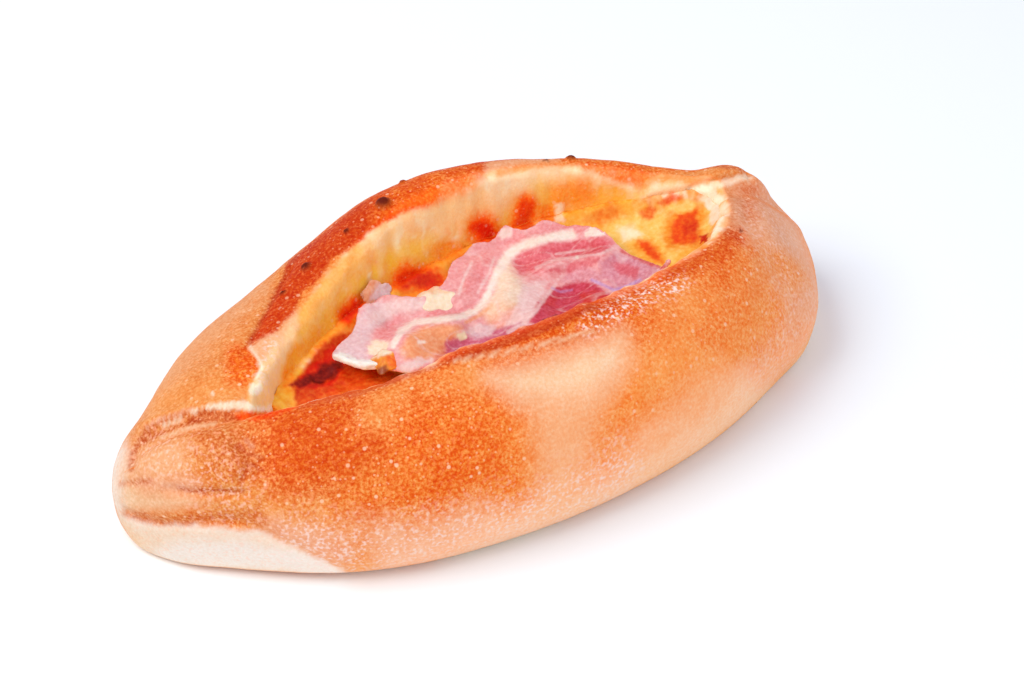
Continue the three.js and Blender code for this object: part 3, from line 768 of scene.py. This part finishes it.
def scrambled(cells, seed):
    """A repeatable number from -1 to 1 for each whole-numbered cell."""
    mixed = np.bitwise_xor.reduce(cells * SCRAMBLE_BY_AXIS, axis=1) ^ (seed * SCRAMBLE_BY_SEED)
    for shift, factor in SCRAMBLE_ROUNDS:
        mixed = ((mixed ^ (mixed >> shift)) * factor) & SCRAMBLE_LIMIT
    return mixed / (SCRAMBLE_LIMIT // 2) - 1


def noise(points, size, seed):
    """Smooth noise from -1 to 1 with lumps of about the given size, which may differ by axis."""
    scaled = points / np.array(size)
    low = np.floor(scaled).astype(np.int64)
    share = scaled - low
    share = share * share * (3 - 2 * share)
    total = np.zeros(len(points))
    for corner in itertools.product((0, 1), repeat=3):
        weight = np.prod(np.where(corner, share, 1 - share), axis=1)
        total += weight * scrambled(low + np.array(corner), seed)
    return total


def layered(points, layers):
    """The sum of layers of noise, each an amount, a size and a seed."""
    return sum(amount * noise(points, size, seed) for amount, size, seed in layers)


def distance_to(points, path):
    """The distance from each point to the nearest place of a path."""
    nearest = np.full(len(points), np.inf)
    for place in path:
        nearest = np.minimum(nearest, ((points - place) ** 2).sum(axis=1))
    return np.sqrt(nearest)


# Places seen in the photo

def solid_tree(*nodes):
    """A search tree over the nodes' solids, in millimetres."""
    corners = []
    faces = []
    for node in nodes:
        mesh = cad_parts[node].data
        mesh.calc_loop_triangles()
        start = len(corners)
        corners += [vertex.co / MM for vertex in mesh.vertices]
        faces += [[start + corner for corner in triangle.vertices] for triangle in mesh.loop_triangles]
    return BVHTree.FromPolygons(corners, faces)


def view_ray(pixel):
    across = (pixel[0] - PHOTO_WIDTH / 2) / FOCAL_PIXELS
    above = (PHOTO_HEIGHT / 2 - pixel[1]) / FOCAL_PIXELS
    ray = FORWARD + across * RIGHTWARD + above * UPWARD
    return ray / np.linalg.norm(ray)


def seen_at(pixel, tree):
    """Where the view through a pixel meets the solids, or where it passes them closest."""
    ray = view_ray(pixel)
    met = tree.ray_cast(Vector(EYE), Vector(ray))[0]
    if met is not None:
        return np.array(met)
    place = EYE + VIEW_DISTANCE * ray
    for _ in range(CLOSER_ROUNDS):
        beside = np.array(tree.find_nearest(Vector(place))[0])
        place = EYE + ray * ((beside - EYE) @ ray)
    return beside


def shown_at(points):
    """The photo's pixels that points show at."""
    away = points - EYE
    depth = away @ FORWARD
    across = PHOTO_WIDTH / 2 + FOCAL_PIXELS * (away @ RIGHTWARD) / depth
    down = PHOTO_HEIGHT / 2 - FOCAL_PIXELS * (away @ UPWARD) / depth
    return np.stack([across, down], axis=1)


def pixels_from(shown, line, closed):
    """The distance in pixels from each shown point to a line of pixels."""
    starts = np.array(line, float)
    ends = np.roll(starts, -1, axis=0)
    nearest = np.full(len(shown), np.inf)
    for start, end in list(zip(starts, ends))[:len(line) if closed else max(1, len(line) - 1)]:
        along = end - start
        share = np.clip((shown - start) @ along / max(along @ along, 1e-9), 0, 1)
        nearest = np.minimum(nearest, ((shown - start - share[:, None] * along) ** 2).sum(axis=1))
    return np.sqrt(nearest)


def within(shown, outline):
    """Which shown points lie inside a closed line of pixels."""
    inside = np.zeros(len(shown), bool)
    corners = np.array(outline, float)
    for (left, top), (right, bottom) in zip(corners, np.roll(corners, -1, axis=0)):
        beside = (top > shown[:, 1]) != (bottom > shown[:, 1])
        crossing = left + (shown[:, 1] - top) * (right - left) / ((bottom - top) or 1)
        inside ^= beside & (shown[:, 0] < crossing)
    return inside


def seen_path(pixels, tree):
    """Places on the solids below a line of pixels, about a millimetre apart."""
    pixels = np.array(pixels, float)
    lengths = np.linalg.norm(np.diff(pixels, axis=0), axis=1)
    along = np.concatenate([[0], np.cumsum(lengths)])
    steps = np.linspace(0, along[-1], int(along[-1] / PATH_STEP) + 1)
    across = np.interp(steps, along, pixels[:, 0])
    down = np.interp(steps, along, pixels[:, 1])
    return np.array([seen_at(pixel, tree) for pixel in zip(across, down)])


# Meshes

def refined_copy(node, name, cell):
    """A new object: the node's solid, cut into even squares."""
    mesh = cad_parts[node].data.copy()
    welded = bmesh.new()
    welded.from_mesh(mesh)
    bmesh.ops.remove_doubles(welded, verts=welded.verts, dist=WELD_DISTANCE * MM)
    welded.to_mesh(mesh)
    welded.free()
    mesh.materials.clear()
    piece = bpy.data.objects.new(name, mesh)
    bpy.context.scene.collection.objects.link(piece)
    squares = piece.modifiers.new("squares", "REMESH")
    squares.mode = "VOXEL"
    squares.voxel_size = cell * MM
    graph = bpy.context.evaluated_depsgraph_get()
    piece.data = bpy.data.meshes.new_from_object(piece.evaluated_get(graph))
    piece.data.name = name
    piece.modifiers.clear()
    return piece


def read_points(piece):
    points = np.empty(len(piece.data.vertices) * 3, np.float32)
    piece.data.vertices.foreach_get("co", points)
    return points.reshape(-1, 3).astype(float) / MM


def write_points(piece, points):
    piece.data.vertices.foreach_set("co", (points * MM).astype(np.float32).ravel())
    piece.data.update()


def read_normals(piece):
    normals = np.empty(len(piece.data.vertices) * 3, np.float32)
    piece.data.vertex_normals.foreach_get("vector", normals)
    return normals.reshape(-1, 3).astype(float)


def smooth(piece, rounds):
    """Eases each point towards the middle of its neighbours, which takes off the facets."""
    points = read_points(piece)
    ends = np.empty(len(piece.data.edges) * 2, np.int32)
    piece.data.edges.foreach_get("vertices", ends)
    first, second = ends.reshape(-1, 2).T
    size = len(points)
    count = np.bincount(ends, minlength=size)
    for _ in range(rounds):
        for axis in range(3):
            values = points[:, axis]
            total = np.bincount(first, values[second], size) + np.bincount(second, values[first], size)
            points[:, axis] = (values + total / count) / 2
    write_points(piece, points)


def smooth_copy(node, name, cell, rounds):
    """A refined copy of a node without its facets, with its points and the ways that they face."""
    piece = refined_copy(node, name, cell)
    smooth(piece, rounds)
    return piece, read_points(piece), read_normals(piece)


def relief(points, features, tree, flat=False):
    """The height that the named features add at each point, with flat ones measured in plan."""
    height = np.zeros(len(points))
    measured = points * (1, 1, 0) if flat else points
    for rise, width, pixels in features.values():
        path = seen_path(pixels, tree)
        away = distance_to(measured, path * (1, 1, 0) if flat else path)
        height += rise * np.exp(-(away / width) ** 2)
    return height


class Canvas:
    """The colours of a piece's points, painted where the photo shows them."""

    def __init__(self, piece, normals, colours, paintable=1.0):
        self.points = read_points(piece)
        self.shown = shown_at(self.points)
        towards = EYE - self.points
        towards /= np.linalg.norm(towards, axis=1, keepdims=True)
        self.colours = colours
        self.paintable = paintable * ease(*FACING_FADE, (normals * towards).sum(axis=1))

    def lay(self, share, name):
        """Covers a share of each colour with the named one."""
        self.colours += (self.paintable * share)[:, None] * (TONES[name] - self.colours)

    def uneven(self, near, size, seed):
        """How far a ragged edge strays at the near points, for strokes and patches of about one size."""
        coarse = (1.0, max(size, EDGE_LUMP), seed)
        fine = (FINE_EDGE_SHARE, max(FINE_EDGE_SIZE * size, FINE_EDGE_LUMP), seed + SEEDS["fine lumps"])
        return layered(self.points[near], [coarse, fine])

    def stroke(self, width, pixels, edge, seed):
        """How much of a stroke lies on each point, from 0 to 1."""
        away = pixels_from(self.shown, pixels, False) / (width * PIXELS_PER_MM)
        near = away < STROKE_REACH
        cover = np.zeros(len(away))
        uneven = edge["ragged"] * self.uneven(near, STROKE_LUMP * width, seed)
        cover[near] = 1 - ease(edge["inner"], edge["outer"], away[near] + uneven)
        return cover

    def patch(self, fade, outline, seed):
        """How much of a patch lies on each point, from 0 to 1."""
        away = pixels_from(self.shown, outline, True)
        away[within(self.shown, outline)] *= -1
        near = away < fade + 2 * PATCH_RAGGED
        cover = np.zeros(len(away))
        uneven = PATCH_RAGGED * self.uneven(near, fade / PIXELS_PER_MM, seed)
        cover[near] = 1 - ease(-fade, fade, away[near] + uneven)
        return cover

    def paint_strokes(self, strokes, edge):
        for seed, (name, width, cover, pixels) in enumerate(strokes.values(), SEEDS["stroke"]):
            self.lay(cover * self.stroke(width, pixels, edge, seed), name)

    def paint_patches(self, patches):
        for seed, (name, fade, cover, outline) in enumerate(patches.values(), SEEDS["patch"]):
            self.lay(cover * self.patch(fade, outline, seed), name)

    def flecks(self):
        """How much of the white flecks lies on each point, from 0 to 1."""
        cover = np.zeros(len(self.points))
        for seed, (width, share, pixels) in enumerate(FLECKED.values(), SEEDS["fleck"]):
            cover = np.maximum(cover, share * self.stroke(width, pixels, SOFT_EDGE, seed))
        return cover * self.paintable

    def paint_browning(self):
        """Lays the browned spots: an amber glow, then browned, then burnt as far as each one goes."""
        for seed, (width, depth, pixels) in enumerate(BROWNED_SPOTS.values()):
            glow = self.stroke(GLOW_WIDTH * width, pixels, SOFT_EDGE, seed + SEEDS["glow"])
            core = self.stroke(CORE_WIDTH * width, pixels, SOFT_EDGE, seed + SEEDS["core"])
            self.lay(np.minimum(GLOW_GAIN * glow, GLOW_COVER) * np.interp(depth, *AMBER_BY_DEPTH), "amber")
            self.lay(np.minimum(CORE_GAIN * core, 1) * np.interp(depth, *BROWNED_BY_DEPTH), "browned")
            self.lay(ease(*BURNT_CORE, core) * np.interp(depth, *BURNT_BY_DEPTH), "burnt")

    def paint_filling(self):
        """Paints what shows in the hollow, on its walls and on the cheese alike."""
        self.paint_strokes(FILLING_SHADES, SOFT_EDGE)
        self.paint_browning()
        self.paint_patches(FILLING_PATCHES)


def by_level(levels, stops):
    """Colours for levels from 0 to 1, between named stops."""
    places = [place for place, _ in stops]
    tones = np.array([TONES[name] for _, name in stops])
    return np.stack([np.interp(levels, places, tones[:, axis]) for axis in range(3)], axis=1)


def light_by_facing(normals):
    """How bright the lights make a white surface that faces each way."""
    return np.clip(LIGHT_EVEN + normals @ LIGHT_BY_FACING, *LIGHT_RANGE)


def keep_colours(piece, colours, light):
    """Writes the surface's own colours to the mesh: those that show as the given ones in the light."""
    layer = piece.data.color_attributes.new("paint", "FLOAT_COLOR", "POINT")
    opaque = np.ones((len(colours), 4), np.float32)
    opaque[:, :3] = np.minimum(colours / (light[:, None] * LIGHT_TINT), WHITEST)
    layer.data.foreach_set("color", opaque.ravel())


def keep_share(piece, name, values):
    layer = piece.data.attributes.new(name, "FLOAT", "POINT")
    layer.data.foreach_set("value", np.clip(values, 0, 1).astype(np.float32))


def finish_piece(piece, material, node):
    """Gives a piece its material and its body, and hides the solid that it stands for."""
    piece.data.materials.append(material)
    piece.data.polygons.foreach_set("use_smooth", np.ones(len(piece.data.polygons), bool))
    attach(piece, "root")
    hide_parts(node)


# Materials

class Nodes:
    """A material's node tree, with short ways to add and join nodes."""

    def __init__(self, name):
        self.material = bpy.data.materials.new(name)
        self.material.use_nodes = True
        self.tree = self.material.node_tree
        self.shader = self.tree.nodes["Principled BSDF"]
        self.place = self.add("ShaderNodeTexCoord").outputs["Object"]

    def add(self, kind, **settings):
        node = self.tree.nodes.new(kind)
        for name, value in settings.items():
            setattr(node, name, value)
        return node

    def fill(self, socket, value):
        """Sets a socket to a number or colour, or joins another node's output to it."""
        if isinstance(value, (int, float, tuple)):
            socket.default_value = value
        else:
            self.tree.links.new(value, socket)

    def attribute(self, name, output):
        return self.add("ShaderNodeAttribute", attribute_name=name).outputs[output]

    def noise(self, size, detail=3, roughness=0.5):
        """Noise with lumps of about the given millimetres."""
        node = self.add("ShaderNodeTexNoise")
        node.inputs["Roughness"].default_value = roughness
        node.inputs["Scale"].default_value = 1 / (size * MM)
        node.inputs["Detail"].default_value = detail
        self.fill(node.inputs["Vector"], self.place)
        return node.outputs["Fac"]

    def dots(self, size):
        """The distance from the nearest of many points, spread about the given millimetres apart."""
        node = self.add("ShaderNodeTexVoronoi")
        node.inputs["Scale"].default_value = 1 / (size * MM)
        self.fill(node.inputs["Vector"], self.place)
        return node.outputs["Distance"]

    def remap(self, value, low, high, to_low=0.0, to_high=1.0):
        node = self.add("ShaderNodeMapRange")
        node.inputs["From Min"].default_value = low
        node.inputs["From Max"].default_value = high
        node.inputs["To Min"].default_value = to_low
        node.inputs["To Max"].default_value = to_high
        self.fill(node.inputs["Value"], value)
        return node.outputs["Result"]

    def grain(self, size, deeper, paler, low=0.34, high=0.66, **detail):
        """How far a fine grain deepens the colour: its pits most, and its peaks least."""
        return self.remap(self.noise(size, **detail), low, high, deeper, paler)

    def sum(self, operation, first, second):
        """Two values added or multiplied."""
        node = self.add("ShaderNodeMath", operation=operation)
        self.fill(node.inputs[0], first)
        self.fill(node.inputs[1], second)
        return node.outputs["Value"]

    def deepen(self, colour, power):
        """The colour raised to a power: above 1 it is browner, and below 1 it is paler."""
        node = self.add("ShaderNodeGamma")
        self.fill(node.inputs["Color"], colour)
        self.fill(node.inputs["Gamma"], power)
        return node.outputs["Color"]

    def mix(self, share, first, second):
        node = self.add("ShaderNodeMix", data_type="RGBA")
        self.fill(node.inputs[0], share)
        self.fill(node.inputs[6], first)
        self.fill(node.inputs[7], second)
        return node.outputs[2]

    def bump(self, height, strength, depth):
        node = self.add("ShaderNodeBump")
        node.inputs["Strength"].default_value = strength
        node.inputs["Distance"].default_value = depth * MM
        self.fill(node.inputs["Height"], height)
        self.fill(self.shader.inputs["Normal"], node.outputs["Normal"])

    def set(self, **values):
        for name, value in values.items():
            self.fill(self.shader.inputs[name.replace("_", " ")], value)


def crust_material():
    """Baked crust: the painted browning, broken up by dark and pale speckle, blisters and white flecks."""
    nodes = Nodes("baked crust")
    speckle = nodes.attribute("speckle", "Fac")
    grain = nodes.grain(**CRUST_GRAIN, detail=3, roughness=0.6)
    blotch = nodes.grain(**CRUST_BLOTCH, low=0.3, high=0.7, detail=3)
    depth = nodes.sum("MULTIPLY", nodes.sum("ADD", grain, blotch), speckle)
    colour = nodes.deepen(nodes.attribute("paint", "Color"), nodes.sum("ADD", depth, 1.0))
    crumb = nodes.remap(nodes.noise(CRUMBS["size"], 2, 0.6), 0.52, 0.68, 0.0, CRUMBS["cover"])
    colour = nodes.mix(nodes.sum("MULTIPLY", crumb, speckle), colour, CRUMBS["colour"])
    for dots in (BLISTERS, SMALL_BLISTERS):
        blister = nodes.remap(nodes.dots(dots["spacing"]), *dots["edge"], 0.0, dots["cover"])
        colour = nodes.mix(nodes.sum("MULTIPLY", blister, speckle), colour, dots["colour"])
    fleck = nodes.remap(nodes.noise(FLECKS["size"], 1), 0.5, 0.7)
    fleck = nodes.sum("MULTIPLY", fleck, nodes.attribute("fleck", "Fac"))
    colour = nodes.mix(fleck, colour, FLECKS["colour"])
    nodes.set(Base_Color=colour, Specular_IOR_Level=0.06)
    nodes.set(Roughness=nodes.remap(grain, CRUST_GRAIN["paler"], CRUST_GRAIN["deeper"], 0.5, 0.64))
    nodes.bump(grain, 0.3, -0.25)
    return nodes.material


def cheese_material():
    """Melted cheese: the painted browning over a fine oily grain."""
    nodes = Nodes("melted cheese")
    grain = nodes.grain(**CHEESE_GRAIN, low=0.32, high=0.68, detail=4)
    colour = nodes.deepen(nodes.attribute("paint", "Color"), nodes.sum("ADD", grain, 1.0))
    nodes.set(Base_Color=colour, Specular_IOR_Level=0.16)
    nodes.set(Roughness=nodes.remap(grain, CHEESE_GRAIN["paler"], CHEESE_GRAIN["deeper"], 0.34, 0.52))
    nodes.bump(grain, 0.35, -0.3)
    return nodes.material


def bacon_material():
    """Cooked bacon: painted lean and fat, with fine fibres and a moist shine."""
    nodes = Nodes("cooked bacon")
    fibre = nodes.grain(**BACON_FIBRE, detail=4)
    colour = nodes.deepen(nodes.attribute("paint", "Color"), nodes.sum("ADD", fibre, 1.0))
    nodes.set(Base_Color=colour, Specular_IOR_Level=0.32, Subsurface_Weight=0.1, Subsurface_Scale=0.0012)
    nodes.set(Roughness=nodes.remap(fibre, BACON_FIBRE["paler"], BACON_FIBRE["deeper"], 0.3, 0.46))
    nodes.bump(fibre, 0.28, -0.2)
    return nodes.material


# The foods

def towards_opening(points, normals):
    """How much each point of the bread faces the middle line of its opening, from -1 to 1."""
    start, end = OPENING_LINE
    along = end - start
    share = np.clip((points[:, :2] - start) @ along / (along @ along), 0, 1)
    inward = start + share[:, None] * along - points[:, :2]
    inward /= np.linalg.norm(inward, axis=1, keepdims=True) + 1e-9
    return (normals[:, :2] * inward).sum(axis=1)


def outside_colours(points, normals):
    """Browning of the crust by height and by chance."""
    chance = layered(points, BROWNING_CHANCE)
    level = points[:, 2] / BROWNING_HEIGHT + chance
    colours = by_level(level, NEAR_SIDE)
    colours += ease(*FAR_SIDE_FROM, points[:, 1])[:, None] * (by_level(level, FAR_SIDE) - colours)
    below = by_level(0.5 + 2 * chance, UNDERSIDE)
    colours += ease(*UNDERSIDE_FACING, normals[:, 2])[:, None] * (below - colours)
    return colours


def wall_colours(points):
    """The cream inner wall, streaked downwards, yellower towards the cheese."""
    # Partly painted light and shade: the level follows the wall's relief streaks
    level = (points[:, 2] - HOLLOW_FLOOR) / HOLLOW_DEPTH + layered(points, WALL_TONE_AND_STREAK_SHADING)
    colours = by_level(level, INNER_WALL)
    torn = TORN_COVER * ease(*TORN_LEVEL, level)
    for name, streaks in TORN_STREAKS.items():
        share = torn * ease(*TORN_EDGE, layered(points, streaks))
        colours += share[:, None] * (TONES[name] - colours)
    return colours


def bubble_cover(points, tree):
    """How much of a baked bubble each point belongs to, and how far it stands out there."""
    cover = np.zeros(len(points))
    height = np.zeros(len(points))
    for pixel, radius in BUBBLES.values():
        away = distance_to(points, [seen_at(pixel, tree)]) / radius
        cover = np.maximum(cover, 1 - ease(*BUBBLE_EDGE, away))
        dome = np.sqrt(np.clip(1 - away ** 2, 0, 1))
        height = np.maximum(height, BUBBLE_HEIGHT * radius * dome)
    return cover, height


def raise_crust(piece, points, normals, height):
    """Moves the crust's points out by a height, less where it rests, and never below its base."""
    rising = height * (1 - RESTING_SHARE * ease(*RESTING_HEIGHT, points[:, 2]))
    moved = points + rising[:, None] * normals
    moved[:, 2] = np.maximum(moved[:, 2], 0)
    write_points(piece, moved)


def paint_bread(piece, normals, colours, inside, bubbles):
    """Paints the crust's shades, the hollow, then the crust's patches and marks, and returns its flecks."""
    Canvas(piece, normals, colours, 1 - inside).paint_strokes(CRUST_SHADES, SOFT_EDGE)
    Canvas(piece, normals, colours, inside).paint_filling()
    crust = Canvas(piece, normals, colours)
    crust.paint_patches(CRUST_PATCHES)
    crust.paint_strokes(CRUST_MARKS, CRISP_EDGE)
    crust.lay(bubbles, "soot and shadow")
    return crust.flecks()


def speckle_share(colours, inside):
    """How speckled each point is: most where it is browned, and less where it is burnt or inside."""
    green = colours[:, 1]
    browned = ease(*BROWNED_GREEN, green) * (1 - BURNT_SMOOTH * ease(*BURNT_GREEN, green))
    return (LEAST_SPECKLE + (1 - LEAST_SPECKLE) * browned) * (1 - WALL_SMOOTH * inside)


def make_bread(trees):
    piece, points, normals = smooth_copy("bread", "bread_crust", CRUST_CELL, CRUST_ROUNDS)
    inside = ease(*INSIDE_FACING, towards_opening(points, normals)) * ease(*INSIDE_HEIGHT, points[:, 2])
    bubbles, height = bubble_cover(points, trees["bread"])
    height += relief(points, CRUST_RELIEF, trees["bread"])
    height += layered(points, CRUST_LUMPS) + inside * layered(points, WALL_STREAKS)
    raise_crust(piece, points, normals, height)
    colours = outside_colours(points, normals)
    colours += inside[:, None] * (wall_colours(points) - colours)
    flecks = paint_bread(piece, normals, colours, inside, bubbles)
    keep_colours(piece, colours, light_by_facing(normals) * (1 - (1 - WALL_LIGHT) * inside))
    keep_share(piece, "speckle", speckle_share(colours, inside) * (1 - bubbles))
    keep_share(piece, "fleck", flecks)
    finish_piece(piece, crust_material(), "bread")


def make_cheese(trees):
    piece, points, normals = smooth_copy("cheese", "melted_cheese", CHEESE_CELL, CHEESE_ROUNDS)
    to_wall = np.empty_like(points)
    for index, point in enumerate(points):
        to_wall[index] = np.array(trees["bread"].find_nearest(Vector(point))[0]) - point
    gap = np.linalg.norm(to_wall, axis=1)
    top = ease(*CHEESE_TOP_FACING, normals[:, 2])
    height = top * (layered(points, CHEESE_LUMPS) + CHEESE_CLIMB * ease(*CLIMBING_GAP, gap))
    filled = ease(*FILLED_GAP, gap) * (1 + PAST_THE_WALL / (gap + 0.01))
    write_points(piece, points + height[:, None] * (0, 0, 1) + filled[:, None] * to_wall)
    colours = by_level(0.5 + layered(points, CHEESE_CHANCE), CHEESE_TONES)
    colours += ease(*WALL_TINT_GAP, gap)[:, None] * (wall_colours(points) - colours)
    Canvas(piece, normals, colours).paint_filling()
    share = ease(OPENING_LINE[0, 0], OPENING_LINE[1, 0], points[:, 0])
    dimming = FILLING_LIGHT["start"] + share * (FILLING_LIGHT["end"] - FILLING_LIGHT["start"])
    keep_colours(piece, colours, dimming * light_by_facing(normals))
    finish_piece(piece, cheese_material(), "cheese")


def make_bacon(trees):
    piece, points, normals = smooth_copy("bacon", "bacon_slice", BACON_CELL, BACON_ROUNDS)
    plan = points * (1, 1, 0)
    lift = relief(points, BACON_FOLDS, trees["bacon"], flat=True)
    lift += layered(plan, BACON_WAVES)
    edge = (1 - np.abs(normals[:, 2]))[:, None] * (1, 1, 0) * normals
    push = layered(plan, BACON_RAGGED)
    write_points(piece, points + lift[:, None] * (0, 0, 1) + push[:, None] * edge)
    colours = np.tile(TONES["lean"], (len(points), 1))
    canvas = Canvas(piece, normals, colours)
    canvas.paint_patches(BACON_PATCHES)
    bent = plan.copy()
    bent[:, 0] += layered(plan, VEIN_BEND["across"])
    bent[:, 1] += layered(plan, VEIN_BEND["along"])
    veins = ease(*BACON_VEINS["edge"], np.abs(layered(bent, BACON_VEINS["layers"])))
    canvas.lay(BACON_VEINS["cover"] * veins, "pale lean")
    canvas.paint_strokes(BACON_MARKS, CRISP_EDGE)
    keep_colours(piece, colours, light_by_facing(normals * np.sign(normals[:, 2:])))
    finish_piece(piece, bacon_material(), "bacon")


def make_scrap(node):
    piece, points, normals = smooth_copy(node, "loose_" + node, SCRAP_CELL, SCRAP_ROUNDS)
    moved = points + layered(points, SCRAP_LUMPS)[:, None] * normals
    base = moved[:, 2].min()
    moved[:, 2] = base - SCRAP_SINK[node] + SCRAP_SHARE * (moved[:, 2] - base)
    write_points(piece, moved)
    colours = np.tile(TONES[SCRAP_TONES[node]], (len(points), 1))
    Canvas(piece, normals, colours).paint_patches(SCRAP_PATCHES[node])
    keep_colours(piece, colours, light_by_facing(normals))
    finish_piece(piece, bpy.data.materials["cooked bacon"], node)


# The stage

def make_floor():
    half = FLOOR_SIZE / 2 * MM
    mesh = bpy.data.meshes.new("floor")
    corners = [(-half, -half, 0), (half, -half, 0), (half, half, 0), (-half, half, 0)]
    mesh.from_pydata(corners, [], [(0, 1, 2, 3)])
    floor = bpy.data.objects.new("floor", mesh)
    floor.location.z = -FLOOR_DROP * MM
    bpy.context.scene.collection.objects.link(floor)
    nodes = Nodes("floor")
    nodes.set(Base_Color=(*FLOOR_COLOUR, 1.0), Roughness=0.9, Specular_IOR_Level=0.1)
    mesh.materials.append(nodes.material)


def make_light(name, power, size, distance, direction, colour):
    data = bpy.data.lights.new(name, "AREA")
    data.energy = power
    data.size = size
    data.color = colour
    light = bpy.data.objects.new(name, data)
    towards = Vector(direction).normalized()
    light.location = towards * distance
    light.rotation_mode = "QUATERNION"
    light.rotation_quaternion = towards.to_track_quat("Z", "Y")
    bpy.context.scene.collection.objects.link(light)


def make_sky():
    world = bpy.data.worlds.new("sky")
    world.use_nodes = True
    background = world.node_tree.nodes["Background"]
    background.inputs["Color"].default_value = (*SKY_COLOUR, 1)
    background.inputs["Strength"].default_value = SKY_STRENGTH
    bpy.context.scene.world = world


def make_camera():
    data = bpy.data.cameras.new("camera")
    data.sensor_width = SENSOR_WIDTH
    data.lens = FOCAL_PIXELS * SENSOR_WIDTH / PHOTO_WIDTH
    camera = bpy.data.objects.new("camera", data)
    camera.location = Vector(EYE) * MM
    camera.rotation_mode = "QUATERNION"
    camera.rotation_quaternion = Vector(FORWARD).to_track_quat("-Z", "Y")
    bpy.context.scene.collection.objects.link(camera)
    bpy.context.scene.camera = camera


def main():
    trees = {
        "bread": solid_tree("bread"),
        "bacon": solid_tree("bacon"),
    }
    make_camera()
    make_bread(trees)
    make_cheese(trees)
    make_bacon(trees)
    for node in SCRAP_TONES:
        make_scrap(node)
    make_floor()
    make_light("key", **KEY_LIGHT)
    make_light("front", **FRONT_LIGHT)
    make_sky()
    bpy.context.scene.view_settings.view_transform = "Standard"


main()
